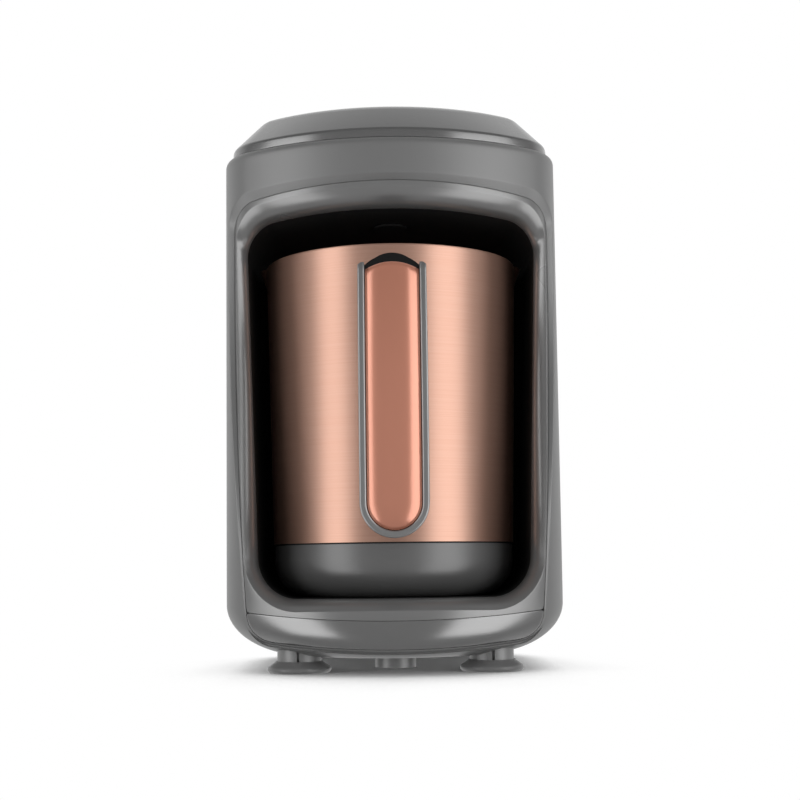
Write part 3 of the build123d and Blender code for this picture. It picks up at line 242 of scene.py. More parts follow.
def housing_numbers(x, height, sink=0.0):
    """Running numbers of the place on the housing's front with this x and height, where the
    surface is sunk by sink."""
    wall_bottom = bottom_z + edge_high
    if height < wall_bottom:
        up = math.acos(max(-1, 1 - (height - bottom_z) / edge_high)) / (math.pi / 2)
    else:
        up = 1 + (height - wall_bottom) / (wall_top - wall_bottom)
    _, inset, narrow = housing_level(up)
    inset += sink
    across = abs(x) / narrow
    if across <= (front_r - inset) * math.sin(front_turn):
        step = math.asin(across / (front_r - inset)) / front_turn
    else:
        angle = math.asin(min(1, (across - corner_x) / (corner_r - inset)))
        step = 1 + (angle - front_turn) / (math.pi / 2 - front_turn)
    return (-step if x < 0 else step), up


def evenly(items, count, place=lambda item: item):
    """Count items of a dense run at even distances of their places, without the last one."""
    spots = [place(item) for item in items]
    walked = [0.0]
    for a, b in zip(spots, spots[1:]):
        walked.append(walked[-1] + (b - a).length)
    chosen, at = [], 0
    for k in range(count):
        goal = walked[-1] * k / count
        while walked[at + 1] < goal:
            at += 1
        part = (goal - walked[at]) / max(walked[at + 1] - walked[at], 1e-12)
        chosen.append(items[at].lerp(items[at + 1], part))
    return chosen


# Share of the way to the corner at which a Bezier curve comes closest to a quarter circle
quarter_pull = 0.5523


def bowed_outline(corners, bows, rounds, counts):
    """Closed outline, given counter-clockwise, of four sides that bow outwards between rounded
    corners. It starts in the middle of the first corner."""
    sides = []
    for k in range(4):
        start, end = Vector(corners[k]), Vector(corners[(k + 1) % 4])
        out = Vector((end.y - start.y, start.x - end.x)).normalized()
        run = [
            start.lerp(end, s / 900) + out * bows[k] * 4 * (s / 900) * (1 - s / 900)
            for s in range(901)
        ]
        sides.append(
            [
                p
                for p in run
                if (p - start).length >= rounds[k] and (p - end).length >= rounds[(k + 1) % 4]
            ]
        )
    bends = []
    for k in range(4):
        corner, a, d = Vector(corners[k]), sides[k - 1][-1], sides[k][0]
        b, c = a.lerp(corner, quarter_pull), d.lerp(corner, quarter_pull)
        bend = []
        for s in range(33):
            v = s / 32
            bend.append(
                a * (1 - v) ** 3 + b * 3 * v * (1 - v) ** 2 + c * 3 * v * v * (1 - v) + d * v**3
            )
        bends.append(bend)
    closed = []
    for k in range(4):
        run = bends[k][16:] + sides[k][1:-1] + bends[(k + 1) % 4][:17]
        closed += evenly(run, counts[k])
    return closed


def skin(rings, around=True, over=False, caps=()):
    """Form of quads between rings of points. Around closes each ring, over joins the last ring
    to the first, and caps lists the rings that are closed with a flat fan."""
    form = bmesh.new()
    rows = [[form.verts.new(point) for point in ring] for ring in rings]
    pairs = list(zip(rows, rows[1:])) + ([(rows[-1], rows[0])] if over else [])
    for low, high in pairs:
        count = len(low)
        for k in range(count if around else count - 1):
            form.faces.new((low[k], low[(k + 1) % count], high[(k + 1) % count], high[k]))
    for end in caps:
        ring = rows[end]
        middle = form.verts.new(sum((v.co for v in ring), Vector()) / len(ring))
        for k in range(len(ring)):
            form.faces.new((ring[k], middle, ring[(k + 1) % len(ring)]))
    return form


def piece_of(name, forms, finish, soften=40):
    """Object made of bmesh forms that are merged, turned outwards and shaded smooth."""
    whole = bpy.data.meshes.new(name)
    joined = bmesh.new()
    for form in forms:
        part = bpy.data.meshes.new("part")
        form.to_mesh(part)
        form.free()
        joined.from_mesh(part)
        bpy.data.meshes.remove(part)
    bmesh.ops.remove_doubles(joined, verts=joined.verts, dist=1e-6)
    bmesh.ops.recalc_face_normals(joined, faces=joined.faces)
    joined.to_mesh(whole)
    joined.free()
    whole.polygons.foreach_set("use_smooth", [True] * len(whole.polygons))
    whole.set_sharp_from_angle(angle=math.radians(soften))
    whole.materials.append(finish)
    made = bpy.data.objects.new(name, whole)
    bpy.context.scene.collection.objects.link(made)
    return made


# Grain is the fine unevenness of a moulded or painted surface: it moves the roughness a little
# and lifts the surface by a few microns.
grain = bpy.data.node_groups.new("grain", "ShaderNodeTree")
for socket in ("Scale", "Height", "Roughness"):
    grain.interface.new_socket(socket, in_out="INPUT", socket_type="NodeSocketFloat")
grain.interface.new_socket("Roughness", in_out="OUTPUT", socket_type="NodeSocketFloat")
grain.interface.new_socket("Normal", in_out="OUTPUT", socket_type="NodeSocketVector")
g = grain.nodes
given, put = g.new("NodeGroupInput"), g.new("NodeGroupOutput")
place = g.new("ShaderNodeTexCoord")
speck = g.new("ShaderNodeTexNoise")
speck.inputs["Detail"].default_value = 3
grain.links.new(place.outputs["Object"], speck.inputs["Vector"])
grain.links.new(given.outputs["Scale"], speck.inputs["Scale"])
lift = g.new("ShaderNodeBump")
lift.inputs["Strength"].default_value = 1
grain.links.new(given.outputs["Height"], lift.inputs["Distance"])
grain.links.new(speck.outputs["Fac"], lift.inputs["Height"])
cloud = g.new("ShaderNodeTexNoise")
cloud.inputs["Scale"].default_value = 25
grain.links.new(place.outputs["Object"], cloud.inputs["Vector"])
vary = g.new("ShaderNodeMapRange")
vary.inputs["To Min"].default_value = 0.92
vary.inputs["To Max"].default_value = 1.08
grain.links.new(cloud.outputs["Fac"], vary.inputs["Value"])
rough = g.new("ShaderNodeMath")
rough.operation = "MULTIPLY"
grain.links.new(vary.outputs["Result"], rough.inputs[0])
grain.links.new(given.outputs["Roughness"], rough.inputs[1])
grain.links.new(rough.outputs[0], put.inputs["Roughness"])
grain.links.new(lift.outputs["Normal"], put.inputs["Normal"])


def finish_of(name, colour, roughness, metallic=0.0, height=0.00001, coat=0.0):
    """Moulded or painted finish: a colour with the grain group behind its gloss."""
    made = bpy.data.materials.new(name)
    made.use_nodes = True
    shader = made.node_tree.nodes["Principled BSDF"]
    shader.inputs["Base Color"].default_value = (*colour, 1)
    shader.inputs["Metallic"].default_value = metallic
    shader.inputs["Coat Weight"].default_value = coat
    shader.inputs["Coat Roughness"].default_value = 0.1
    texture = made.node_tree.nodes.new("ShaderNodeGroup")
    texture.node_tree = grain
    texture.inputs["Scale"].default_value = 1400
    texture.inputs["Height"].default_value = height
    texture.inputs["Roughness"].default_value = roughness
    made.node_tree.links.new(texture.outputs["Roughness"], shader.inputs["Roughness"])
    made.node_tree.links.new(texture.outputs["Normal"], shader.inputs["Normal"])
    return made


satin_grey = finish_of("satin_grey", (0.27, 0.27, 0.27), 0.44, metallic=0.35, height=0.000005)

runs = (90, 100, 90, 100)
window = bowed_outline(
    [(-0.0582, 0.0135), (0.0582, 0.0135), (0.0643, 0.1895), (-0.0643, 0.1895)],
    (0.0037, 0.0022, 0.0045, 0.0022),
    (0.009, 0.009, 0.009, 0.009),
    runs,
)
border = bowed_outline(
    [(-0.0583, 0.0134), (0.0583, 0.0134), (0.0667, 0.1935), (-0.0667, 0.1935)],
    (0.0037, 0.0030, 0.0031, 0.0030),
    (0.009, 0.009, 0.0105, 0.0105),
    runs,
)
patch = []
for start, end, count in zip(
    [(-2, 0), (2, 0), (2, 2), (-2, 2)], [(2, 0), (2, 2), (-2, 2), (-2, 0)], runs
):
    dense = [Vector(start).lerp(Vector(end), s / 800) for s in range(801)]
    patch.append(evenly(dense, count, lambda item: housing_point(item.x, item.y)))
patch_edge = [item for run in patch for item in run]


shallow, deeper, deepens_from, deepens_over = 0.0002, 0.0018, 0.030, 0.090


def set_back(height):
    """How far the window's edge lies behind the housing's surface at a height."""
    part = max(0, min(1, (height - deepens_from) / deepens_over))
    return shallow + deeper * part * part * (3 - 2 * part)


def on_front(spot, sink):
    """Place in front, given by x and height, on the housing's surface sunk by sink."""
    return housing_point(*housing_numbers(spot.x, spot.y, sink), sink)


def softened(points, cuts, steps=8):
    """Open line of points whose inner corners are rounded off by the given lengths."""
    line = [Vector(points[0])]
    for before, corner, after, cut in zip(points, points[1:], points[2:], cuts):
        before, corner, after = Vector(before), Vector(corner), Vector(after)
        a = corner + (before - corner).normalized() * cut
        b = corner + (after - corner).normalized() * cut
        for s in range(steps + 1):
            v = s / steps
            line.append(a * (1 - v) ** 2 + corner * 2 * v * (1 - v) + b * v * v)
    line.append(Vector(points[-1]))
    return line


def behind_front(spot, sink, further):
    """Place straight behind on_front's place, further inwards."""
    return housing_point(*housing_numbers(spot.x, spot.y, sink), sink + further)


# From the patch's edge to the border, down its slope to the window, and a wall behind that
window_wall = 0.0012
columns = []
for edge, outer, inner in zip(patch_edge, border, window):
    numbers = Vector(housing_numbers(outer.x, outer.y))
    column = [housing_point(*numbers.lerp(edge, (1 - k / 14) ** 1.4)) for k in range(13)]
    brow = housing_point(*numbers)
    sink = set_back(inner.y)
    brink = on_front(inner, sink)
    slope = (brow - brink).length
    column += softened(
        [column[-1], brow, brink, behind_front(inner, sink, window_wall)],
        (min(0.0005, slope / 2.5), min(0.0002, slope / 4)),
        steps=6,
    )[1:]
    columns.append(column)
front_form = skin([list(ring) for ring in zip(*columns)])

right_ups = [item.y for item in patch[1]] + [2]
sweep_round = [Vector((2 + 3 * s / 600, 0)) for s in range(601)]
back_half = evenly(sweep_round, 70, lambda item: housing_point(item.x, 1.5))
back_numbers = [item.x for item in back_half] + [5] + [-item.x for item in reversed(back_half)]
back_form = skin(
    [[housing_point(n, up) for n in back_numbers] for up in right_ups], around=False
)
top_numbers = [item.x for item in patch[2]] + [-n for n in back_numbers[:-1]]
rim = [[housing_point(n, 2 + k / 6) for n in top_numbers] for k in range(7)]
rim.append([Vector((*plan_point(n, 0.0068), housing_top)) for n in top_numbers])
rim.append([Vector((*plan_point(n, 0.0070), housing_top - 0.004)) for n in top_numbers])
rim_form = skin(rim)

# Flat bottom between the rounded edge and the opening for the service cover
bottom_numbers = [item.x for item in patch[0]] + back_numbers[:-1]
opening = bowed_outline(
    [(-0.024, -0.0455), (0.024, -0.0455), (0.024, 0.066), (-0.024, 0.066)],
    (0, 0, 0, 0),
    (0.006,) * 4,
    (60, 140, 60, 140),
)
opening_middle = Vector((0, 0.01))
opening_angles = sorted(
    (math.atan2(p.y - opening_middle.y, p.x), p.x, p.y) for p in opening
)


def on_opening(point):
    """Corner of the opening's outline in the same direction from its middle as the point."""
    angle = math.atan2(point.y - opening_middle.y, point.x)
    nearest = min(opening_angles, key=lambda entry: abs(entry[0] - angle))
    return Vector((nearest[1], nearest[2], bottom_z))


edge_ring = [housing_point(n, 0) for n in bottom_numbers]
bottom_form = skin([[p.lerp(on_opening(p), k / 4) for p in edge_ring] for k in range(5)])
housing = piece_of("housing", [front_form, back_form, rim_form, bottom_form], satin_grey)


def give_wall(piece, thickness):
    """Gives a piece made as a surface its wall, inwards."""
    wall = piece.modifiers.new("wall", "SOLIDIFY")
    wall.thickness, wall.offset = thickness, -1


give_wall(housing, 0.0018)
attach(housing, "machine")
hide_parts("outer_shell")

# ---------------------------------------------------------------- front base cover

# The base cover is a satin grey bumper that closes the window below the bezel. It follows the
# housing's rounded bottom edge, and its upper edge is the bowed seam under the bezel.
bumper_grey = finish_of("bumper_grey", (0.26, 0.26, 0.26), 0.22, metallic=0.65, height=0.000003)
seam = 0.0001
cover_outline = bowed_outline(
    [(-0.0581, 0.0136), (0.0581, 0.0136), (0.0589, 0.0241), (-0.0589, 0.0241)],
    (0.0037, 0.0001, -0.0031, 0.0001),
    (0.0090, 0.0090, 0.0008, 0.0008),
    (120, 16, 120, 16),
)
low_run, right_run = cover_outline[:121], cover_outline[120:137]
high_run = list(reversed(cover_outline[136:257]))
left_run = [cover_outline[0]] + list(reversed(cover_outline[256:]))
cover_rows = []
for k in range(17):
    v = k / 16
    row = []
    for m in range(121):
        u = m / 120
        spot = (
            low_run[m] * (1 - v) + high_run[m] * v
            + left_run[k] * (1 - u) + right_run[k] * u
            - (low_run[0] * (1 - u) * (1 - v) + low_run[120] * u * (1 - v))
            - (high_run[0] * (1 - u) * v + high_run[120] * u * v)
        )
        row.append(on_front(spot, seam))
    cover_rows.append(row)
base_cover = piece_of("base_bumper", [skin(cover_rows, around=False)], bumper_grey)
give_wall(base_cover, 0.0024)
soft = base_cover.modifiers.new("soft_edge", "BEVEL")
soft.width, soft.segments, soft.angle_limit = 0.0001, 2, math.radians(50)
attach(base_cover, "machine")
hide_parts("front_base_cover")

# ---------------------------------------------------------------- front bezel

# The bezel is a glossier grey ring that is pushed into the housing's window from the front. It
# has a rounded lip and a funnel that leads into the black cavity.
lip_grey = finish_of("lip_grey", (0.28, 0.28, 0.28), 0.28, metallic=0.40, height=0.000003)
lip_runs = (110, 100, 110, 100)
lip_outline = bowed_outline(
    [(-0.0589, 0.0243), (0.0589, 0.0243), (0.06425, 0.18945), (-0.06425, 0.18945)],
    (0.0032, 0.0018, 0.0045, 0.0018),
    (0.0008, 0.0008, 0.0089, 0.0089),
    lip_runs,
)
brow_outline = bowed_outline(
    [(-0.0588, 0.0240), (0.0588, 0.0240), (0.0633, 0.1876), (-0.0633, 0.1876)],
    (-0.0010, 0.0016, 0.0038, 0.0016),
    (0.021, 0.021, 0.0105, 0.0105),
    lip_runs,
)
mouth_outline = bowed_outline(
    [(-0.0547, 0.0294), (0.0547, 0.0294), (0.0598, 0.1818), (-0.0598, 0.1818)],
    (0, 0, 0.0030, 0),
    (0.016, 0.016, 0.012, 0.012),
    lip_runs,
)
bezel_back_r, lip_wall = 0.0888, 0.0010


def on_back(spot):
    """Place on the arc that ends the bezel inside."""
    return Vector((spot.x, front_middle_y - math.sqrt(bezel_back_r**2 - spot.x**2), spot.y))


bezel_columns = []
for lip, brow, mouth in zip(lip_outline, brow_outline, mouth_outline):
    sink = set_back(lip.y) + seam
    at_lip = on_front(lip, sink)
    behind_lip = behind_front(lip, sink, lip_wall)
    at_brow = on_front(brow, set_back(brow.y) + seam)
    at_mouth = on_back(mouth)
    face = (at_brow - at_lip).length
    funnel = []
    for k in range(17):
        v = k / 16
        across = 3 * 0.52 * v * (1 - v) ** 2 + 3 * v * v * (1 - v) + v**3
        deep = 3 * 0.15 * v * (1 - v) ** 2 + 3 * 0.36 * v * v * (1 - v) + v**3
        spot = at_brow.lerp(at_mouth, across)
        spot.y = at_brow.y + deep * (at_mouth.y - at_brow.y)
        funnel.append(spot)
    rounded = softened(
        [behind_lip, at_lip, at_brow, funnel[2]],
        (min(0.0002, face / 4), min(0.00025, face / 4)),
        steps=4,
    )
    back = [on_back(lip.lerp(mouth, 0.6)), behind_lip + Vector((0, 0.0025, 0))]
    bezel_columns.append(rounded + funnel[3:] + back)
bezel_rings = [list(ring) for ring in zip(*bezel_columns)]
bezel = piece_of("mouth_bezel", [skin(bezel_rings, over=True)], lip_grey, soften=50)
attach(bezel, "machine")
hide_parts("front_bezel")

# ---------------------------------------------------------------- cavity liner

# The liner is a matt black moulding behind the bezel, with posts for the boards.
matt_black = finish_of("matt_black", (0.004, 0.004, 0.004), 0.75)


def coat_nodes(finish, *names):
    """Gives nodes that keep their own form a finish."""
    for name in names:
        nodes[name].data.materials.clear()
        nodes[name].data.materials.append(finish)


coat_nodes(matt_black, "cavity_liner")

# ---------------------------------------------------------------- top cover

# The top cover is a grey moulding with a low upright edge, a sloping bevel and a flat deck. It
# sits on the housing's rim with a fine seam, and its deck holds the panel with the button.
cover_grey = finish_of("cover_grey", (0.24, 0.24, 0.24), 0.21, metallic=0.55, height=0.000003)
cover_bottom, crease_z, deck_z = 0.2117, 0.2154, 0.2294
# Insets and heights of its side from the seam over the crease to the deck
cover_line = softened(
    [
        (0.0062, cover_bottom), (0.0029, cover_bottom), (0.0032, crease_z),
        (0.0170, deck_z), (0.0215, deck_z),
    ],
    (0.0005, 0.0009, 0.0040),
)
dense = [Vector((5 * s / 800, 0)) for s in range(801)]
cover_numbers = [n.x for n in evenly(dense, 150, lambda item: housing_point(item.x, 1.5))]
cover_numbers = cover_numbers + [5] + [-n for n in reversed(cover_numbers[1:])]
cover_rings = [
    [Vector((*plan_point(n, level.x), level.y)) for n in cover_numbers] for level in cover_line
]
button_y, panel_half, panel_end_r = -0.012, 0.0330, 0.0190
pocket = bowed_outline(
    [
        (-panel_half, button_y - panel_end_r), (panel_half, button_y - panel_end_r),
        (panel_half, button_y + panel_end_r), (-panel_half, button_y + panel_end_r),
    ],
    (0, 0, 0, 0),
    (panel_end_r * 0.999,) * 4,
    (120, 60, 120, 60),
)
pocket_angles = sorted((math.atan2(p.y - button_y, p.x), p.x, p.y) for p in pocket)


def on_pocket(point, height):
    """Place on the pocket's outline in the same direction from the button as the point."""
    angle = math.atan2(point.y - button_y, point.x)
    nearest = min(pocket_angles, key=lambda entry: abs(entry[0] - angle))
    return Vector((nearest[1], nearest[2], height))


last_ring = cover_rings[-1]
for part in (0.25, 0.5, 0.75, 1.0):
    cover_rings.append([p.lerp(on_pocket(p, deck_z), part) for p in last_ring])
cover_rings.append([on_pocket(p, deck_z - 0.0014) for p in last_ring])
top_cover = piece_of("top_cover_shell", [skin(cover_rings)], cover_grey, soften=30)
give_wall(top_cover, 0.0010)
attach(top_cover, "machine")
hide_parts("top_cover")

# ---------------------------------------------------------------- feet

# Each foot is a short post of the housing with a slit in its front, and a wide grey rubber pad
# that is plugged into it. Four of them stand at the corners.
foot_tree = bpy.data.node_groups.new("feet_at_corners", "GeometryNodeTree")
foot_tree.interface.new_socket("Geometry", in_out="INPUT", socket_type="NodeSocketGeometry")
for socket in ("Across", "Deep", "Middle"):
    foot_tree.interface.new_socket(socket, in_out="INPUT", socket_type="NodeSocketFloat")
foot_tree.interface.new_socket("Finish", in_out="INPUT", socket_type="NodeSocketMaterial")
foot_tree.interface.new_socket("Geometry", in_out="OUTPUT", socket_type="NodeSocketGeometry")
n = foot_tree.nodes
foot_in, foot_out = n.new("NodeGroupInput"), n.new("NodeGroupOutput")
corners = n.new("GeometryNodeMeshGrid")
corners.inputs["Vertices X"].default_value = 2
corners.inputs["Vertices Y"].default_value = 2
foot_tree.links.new(foot_in.outputs["Across"], corners.inputs["Size X"])
foot_tree.links.new(foot_in.outputs["Deep"], corners.inputs["Size Y"])
shift = n.new("GeometryNodeSetPosition")
offset = n.new("ShaderNodeCombineXYZ")
foot_tree.links.new(foot_in.outputs["Middle"], offset.inputs["Y"])
foot_tree.links.new(corners.outputs["Mesh"], shift.inputs["Geometry"])
foot_tree.links.new(offset.outputs[0], shift.inputs["Offset"])
stand = n.new("GeometryNodeInstanceOnPoints")
foot_tree.links.new(shift.outputs[0], stand.inputs["Points"])
foot_tree.links.new(foot_in.outputs["Geometry"], stand.inputs["Instance"])
real = n.new("GeometryNodeRealizeInstances")
foot_tree.links.new(stand.outputs[0], real.inputs[0])
coat = n.new("GeometryNodeSetMaterial")
foot_tree.links.new(real.outputs[0], coat.inputs["Geometry"])
foot_tree.links.new(foot_in.outputs["Finish"], coat.inputs["Material"])
foot_tree.links.new(coat.outputs[0], foot_out.inputs[0])


def at_corners(name, one, finish):
    """Copies of one form under the housing's four corners, as a plain mesh."""
    layout = one.modifiers.new("corners", "NODES")
    layout.node_group = foot_tree
    values = {"Across": 0.0772, "Deep": 0.096, "Middle": 0.010, "Finish": finish}
    for item in foot_tree.interface.items_tree:
        if item.in_out == "INPUT" and item.name in values:
            layout[item.identifier] = values[item.name]
    bpy.context.view_layer.update()
    seen = one.evaluated_get(bpy.context.evaluated_depsgraph_get())
    mesh = bpy.data.meshes.new_from_object(seen)
    mesh.name = name
    bpy.data.objects.remove(one)
    made = bpy.data.objects.new(name, mesh)
    bpy.context.scene.collection.objects.link(made)
    return made


def lathe(profile, count=72):
    """Form turned round the upright axis from (radius, height) points; a zero radius is a pole."""
    form = bmesh.new()
    rows = []
    for radius, height in profile:
        if radius < 1e-7:
            rows.append([form.verts.new((0, 0, height))])
            continue
        row = []
        for k in range(count):
            angle = 2 * math.pi * k / count
            spot = (radius * math.cos(angle), radius * math.sin(angle), height)
            row.append(form.verts.new(spot))
        rows.append(row)
    for low, high in zip(rows, rows[1:]):
        for k in range(count):
            a, b = low[k % len(low)], low[(k + 1) % len(low)]
            c, d = high[(k + 1) % len(high)], high[k % len(high)]
            corners = [v for m, v in enumerate((a, b, c, d)) if v not in (a, b, c, d)[:m]]
            if len(corners) > 2:
                form.faces.new(corners)
    return form


pad_grey = finish_of("pad_grey", (0.20, 0.20, 0.20), 0.38, height=0.000008)
pad_line = softened(
    [
        (0, 0.0008), (0.0080, 0.0008), (0.0092, 0.0), (0.0119, 0.0), (0.0128, 0.0011),
        (0.0127, 0.0022), (0.0098, 0.0041), (0.0094, 0.0046), (0, 0.0046),
    ],
    (0.0002, 0.0003, 0.0005, 0.0005, 0.0006, 0.0004, 0.0001),
    steps=5,
)
one_pad = piece_of("pad", [lathe(pad_line)], pad_grey, soften=60)
pads = at_corners("foot_pads", one_pad, pad_grey)
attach(pads, "machine")
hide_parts("foot_front_left", "foot_front_right", "foot_rear_left", "foot_rear_right")

post_r, slit_half, slit_depth = 0.0088, 0.0005, 0.0020
post_ring = []
slit_angle = math.asin(slit_half / post_r)
for k in range(97):
    angle = -math.pi / 2 + slit_angle + (2 * math.pi - 2 * slit_angle) * k / 96
    post_ring.append((post_r * math.cos(angle), post_r * math.sin(angle)))
post_ring += [(-slit_half, -post_r + slit_depth), (slit_half, -post_r + slit_depth)]
post_rows = [
    [Vector((x * size, y * size, height)) for x, y in post_ring]
    for size, height in ((0.97, 0.0042), (1, 0.0045), (1, 0.008), (1, 0.0125))
]
one_post = piece_of("post", [skin(post_rows, caps=(0, -1))], satin_grey)
posts = at_corners("foot_posts", one_post, satin_grey)
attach(posts, "machine")

# ---------------------------------------------------------------- pot

# The pot's vessel is thin copper-coloured steel, brushed round its side. It widens a little
# towards a rim with two pouring lips, and has a flat floor inside.
vessel_low, vessel_high, vessel_low_r, vessel_high_r = 0.0516, 0.1709, 0.0514, 0.0541
lip_x, lip_low_r, lip_high_r, lip_depth = 0.0478, 0.0040, 0.0095, 0.0150
under_z, floor_z, vessel_wall = 0.0549, 0.0560, 0.0010
around_pot = 240


def vessel_ring(height, inward, share=1.0):
    """Ring of the vessel's side at a height, drawn inwards, with the pouring lips at its rim."""
    slope = (vessel_high_r - vessel_low_r) / (vessel_high - vessel_low)
    plain = vessel_low_r + slope * (height - vessel_low)
    rise = max(0, (height - vessel_high + lip_depth) / lip_depth)
    lip_r = lip_low_r + (lip_high_r - lip_low_r) * rise
    ring = []
    for k in range(around_pot):
        angle = 2 * math.pi * k / around_pot
        radius = plain
        off = lip_x * abs(math.sin(angle))
        if rise > 0 and off < lip_r:
            lip = lip_x * abs(math.cos(angle)) + math.sqrt(lip_r**2 - off**2)
            gap = 0.0007
            radius = 0.5 * (plain + lip + math.sqrt((plain - lip) ** 2 + gap**2)) - gap / 2
            radius = max(radius, plain)
        radius = (radius - inward) * share
        ring.append(Vector((radius * math.cos(angle), radius * math.sin(angle), height)))
    return ring


heights = [vessel_low + (vessel_high - 0.0155 - vessel_low) * k / 20 for k in range(21)]
heights += [vessel_high - 0.0150 + 0.0146 * k / 20 for k in range(21)]
vessel_rings = [vessel_ring(under_z, vessel_wall, 0.02), vessel_ring(under_z, 0.0012)]
vessel_rings += [vessel_ring(vessel_low, vessel_wall)]
vessel_rings += [vessel_ring(height, 0) for height in heights]
vessel_rings += [
    vessel_ring(vessel_high - 0.00015, 0.0001), vessel_ring(vessel_high, 0.00035),
    vessel_ring(vessel_high, 0.00065), vessel_ring(vessel_high - 0.00015, 0.0009),
]
vessel_rings += [vessel_ring(height, vessel_wall) for height in reversed(heights[1:])]
vessel_rings += [
    vessel_ring(0.0580, vessel_wall), vessel_ring(0.0566, 0.0016), vessel_ring(0.0561, 0.0030),
    vessel_ring(floor_z, 0.0040), vessel_ring(floor_z, 0.0040, 0.5),
    vessel_ring(floor_z, 0.0040, 0.02),
]

brushed = bpy.data.materials.new("brushed_copper")
brushed.use_nodes = True
t = brushed.node_tree
shader = t.nodes["Principled BSDF"]
shader.inputs["Metallic"].default_value = 0.72
place = t.nodes.new("ShaderNodeTexCoord")
stretch = t.nodes.new("ShaderNodeMapping")
stretch.inputs["Scale"].default_value = (28, 28, 3200)
t.links.new(place.outputs["Object"], stretch.inputs["Vector"])
lines = t.nodes.new("ShaderNodeTexNoise")
lines.inputs["Scale"].default_value = 1
lines.inputs["Detail"].default_value = 5
t.links.new(stretch.outputs[0], lines.inputs["Vector"])
tint = t.nodes.new("ShaderNodeValToRGB")
tint.color_ramp.elements[0].position = 0.3
tint.color_ramp.elements[0].color = (0.56, 0.320, 0.240, 1)
tint.color_ramp.elements[1].position = 0.7
tint.color_ramp.elements[1].color = (0.60, 0.360, 0.275, 1)
t.links.new(lines.outputs["Fac"], tint.inputs["Fac"])
t.links.new(tint.outputs["Color"], shader.inputs["Base Color"])
gloss = t.nodes.new("ShaderNodeMapRange")
gloss.inputs["To Min"].default_value = 0.30
gloss.inputs["To Max"].default_value = 0.40
t.links.new(lines.outputs["Fac"], gloss.inputs["Value"])
t.links.new(gloss.outputs["Result"], shader.inputs["Roughness"])
scratch = t.nodes.new("ShaderNodeBump")
scratch.inputs["Strength"].default_value = 0.5
scratch.inputs["Distance"].default_value = 0.000008
t.links.new(lines.outputs["Fac"], scratch.inputs["Height"])
t.links.new(scratch.outputs["Normal"], shader.inputs["Normal"])
vessel = piece_of("pot_side", [skin(vessel_rings, caps=(0, -1))], brushed, soften=35)
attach(vessel, "pot")
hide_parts("pot_vessel")

# ---------------------------------------------------------------- pot base

# The pot stands on a grey plastic bowl that holds the heater. A thin dark gasket parts it from
# the vessel, and a screwed hatch closes it from below.
base_grey = finish_of("base_grey", (0.20, 0.20, 0.20), 0.36, metallic=0.3, height=0.000006)
coat_nodes(base_grey, "pot_base", "pot_hatch_cover")
coat_nodes(matt_black, "pot_gasket")

# ---------------------------------------------------------------- handle

# The grip bows gently to the front. A satin frame runs down both sides and round the bottom of
# a crowned copper-coloured insert, in front of a gloss black body that arches over both.
grip_front, bow_r, bow_middle_z = -0.0912, 0.300, 0.104


def grip_y(height, depth):
    """How far back the bowed grip lies at a height, at a depth behind its front."""
    reach = bow_r - depth
    return grip_front + bow_r - math.sqrt(reach**2 - (height - bow_middle_z) ** 2)


satin_silver = finish_of("satin_silver", (0.34, 0.34, 0.34), 0.30, metallic=0.7, height=0.000003)
frame_half, rail_half, frame_bottom, rail_top = 0.0130, 0.0013, 0.0525, 0.1562
middle_half = frame_half - rail_half
turn_z = frame_bottom + frame_half
path = []
for k in range(61):
    height = rail_top - (rail_top - turn_z) * k / 60
    path.append((Vector((-middle_half, height)), Vector((-1, 0))))
for k in range(1, 49):
    angle = math.pi + math.pi * k / 49
    out = Vector((math.cos(angle), math.sin(angle)))
    path.append((Vector((0, turn_z)) + out * middle_half, out))
for k in range(61):
    height = turn_z + (rail_top - turn_z) * k / 60
    path.append((Vector((middle_half, height)), Vector((1, 0))))
# The rail's section is a squarish arch in front and plain sides behind it
arch_deep, arch_power = 0.0009, 0.6
rail_section = [
    (
        -rail_half * math.copysign(abs(math.cos(math.pi * k / 12)) ** arch_power, 6 - k),
        arch_deep - arch_deep * math.sin(math.pi * k / 12) ** arch_power,
    )
    for k in range(13)
]
rail_section += [(rail_half, 0.004), (rail_half, 0.007), (-rail_half, 0.007), (-rail_half, 0.004)]
rail_rings = []
for k, (spot, out) in enumerate(path):
    ring = []
    drop = 0.0010 if k in (0, len(path) - 1) else 0.0
    for across, depth in rail_section:
        at = spot + out * across
        at.y -= drop * max(0, across) / rail_half
        ring.append(Vector((at.x, grip_y(at.y, depth + 0.3 * drop), at.y)))
    rail_rings.append(ring)
frame_rail = piece_of("grip_frame", [skin(rail_rings, caps=(0, -1))], satin_silver, soften=60)
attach(frame_rail, "pot")
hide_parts("handle_frame")

copper_gloss = finish_of(
    "copper_gloss", (0.78, 0.32, 0.21), 0.22, metallic=0.4, height=0.000002, coat=0.5
)
insert_half, insert_bottom, insert_side, insert_top = 0.01015, 0.05535, 0.1536, 0.1562
insert_back = 0.0030
insert_turn = insert_bottom + insert_half
insert_heights = [
    insert_turn - insert_half * math.cos(math.pi / 2 * k / 18) for k in range(19)
]
insert_heights += [insert_turn + (insert_side - insert_turn) * k / 70 for k in range(1, 71)]
insert_heights += [
    insert_side + (insert_top - insert_side) * math.sin(math.pi / 2 * k / 16) for k in range(1, 17)
]


def insert_width(height):
    """Half width of the insert at a height."""
    if height < insert_turn:
        return math.sqrt(max(0, insert_half**2 - (insert_turn - height) ** 2))
    if height <= insert_side:
        return insert_half
    return insert_half * math.sqrt(max(0, (insert_top - height) / (insert_top - insert_side)))


def insert_crown(x, height):
    """Depth of the insert's crowned front at a place."""
    low = max(0, insert_turn - height)
    away = math.hypot(x, low) / insert_half
    top = max(0, 1 - (insert_top - height - (insert_top - insert_side) * away**2) / 0.0014)
    return 0.0024 * min(1, away) ** 2.2 - 0.0008 + 0.0006 * top**2


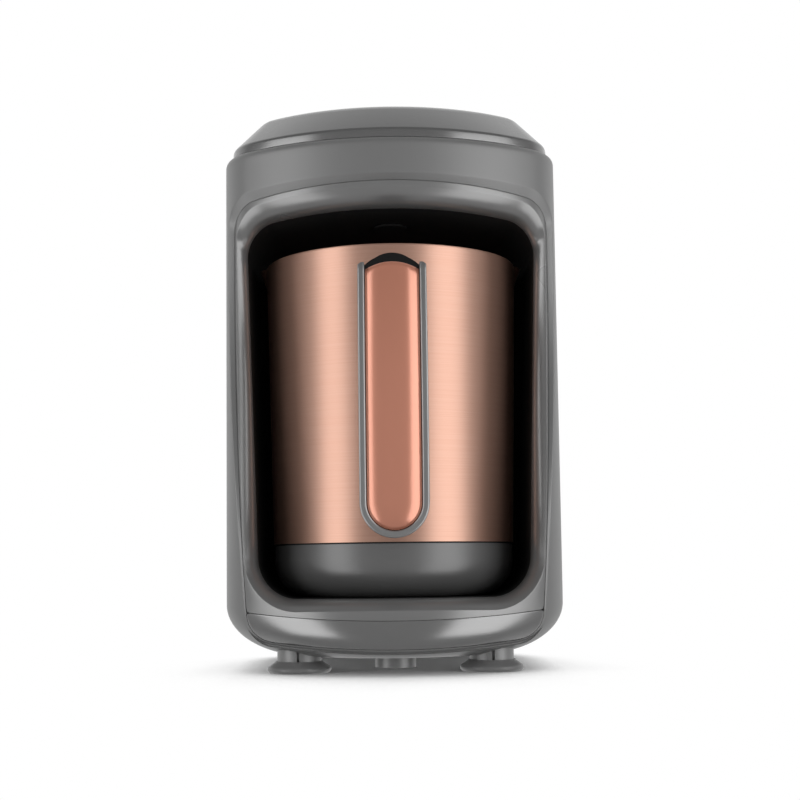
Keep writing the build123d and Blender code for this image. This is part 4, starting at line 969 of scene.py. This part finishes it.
insert_rows, insert_backs = [], []
for height in insert_heights:
    width = insert_width(height)
    places = [width * math.sin(math.pi / 2 * (m / 14 - 1)) for m in range(29)]
    insert_rows.append(
        [Vector((x, grip_y(height, insert_crown(x, height)), height)) for x in places]
    )
    insert_backs.append([Vector((x, grip_y(height, insert_back), height)) for x in places])
rims = [
    [row[0] for row in rows] + rows[-1][1:] + [row[-1] for row in reversed(rows[:-1])]
    for rows in (insert_rows, insert_backs)
]
insert = piece_of(
    "grip_insert",
    [skin(insert_rows, around=False), skin(insert_backs, around=False), skin(rims)],
    copper_gloss,
    soften=50,
)
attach(insert, "pot")
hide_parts("handle_insert")

gloss_black = finish_of("gloss_black", (0.006, 0.006, 0.006), 0.16)
coat_nodes(gloss_black, "handle_core")

# ---------------------------------------------------------------- button, light ring and panel

# A round push button stands in the middle of a gloss black panel on the deck, with a frosted
# ring round it that a lamp below lights up. The sensor's window gets its finish here too.
frosted = finish_of("frosted_clear", (0.75, 0.76, 0.74), 0.45)
coat_nodes(gloss_black, "control_panel")
coat_nodes(frosted, "light_ring")
coat_nodes(satin_silver, "start_button")
coat_nodes(matt_black, "sensor_window")

# ---------------------------------------------------------------- inner parts

# Boards, relay, leads, heater, contacts and screws are bought parts behind the mouldings. They
# keep their plain forms and get the finish that such parts have.
bare_steel = finish_of("bare_steel", (0.55, 0.55, 0.54), 0.3, metallic=1.0)
bare_aluminium = finish_of("bare_aluminium", (0.70, 0.70, 0.71), 0.35, metallic=1.0)
bare_brass = finish_of("bare_brass", (0.72, 0.50, 0.20), 0.28, metallic=1.0)
board_green = finish_of("board_green", (0.02, 0.16, 0.05), 0.4)
component_black = finish_of("component_black", (0.02, 0.02, 0.02), 0.5)
coil_yellow = finish_of("coil_yellow", (0.60, 0.42, 0.05), 0.45)
relay_blue = finish_of("relay_blue", (0.02, 0.09, 0.38), 0.35)
lead_red = finish_of("lead_red", (0.40, 0.02, 0.01), 0.45)
ribbon_grey = finish_of("ribbon_grey", (0.45, 0.45, 0.45), 0.5)
lamp_clear = finish_of("lamp_clear", (0.70, 0.78, 0.70), 0.2)
for finish, names in (
    (board_green, ("control_board", "power_board")),
    (bare_steel, ("control_board_screws", "power_board_screws", "service_screws",
                  "pot_hatch_screws", "heating_element", "handle_brackets", "handle_screws")),
    (component_black, ("push_switch", "buzzer", "overflow_sensor", "terminal_block",
                       "socket_block", "cord_gland", "gland_nut", "thermostat", "pot_plug")),
    (lamp_clear, ("indicator_lamp",)),
    (relay_blue, ("relay",)),
    (coil_yellow, ("transformer",)),
    (bare_brass, ("socket_contacts", "plug_pins")),
    (lead_red, ("socket_leads", "pot_leads")),
    (ribbon_grey, ("ribbon_cable",)),
    (bare_aluminium, ("heater_plate", "thermal_fuse")),
    (satin_grey, ("service_cover",)),
):
    coat_nodes(finish, *names)
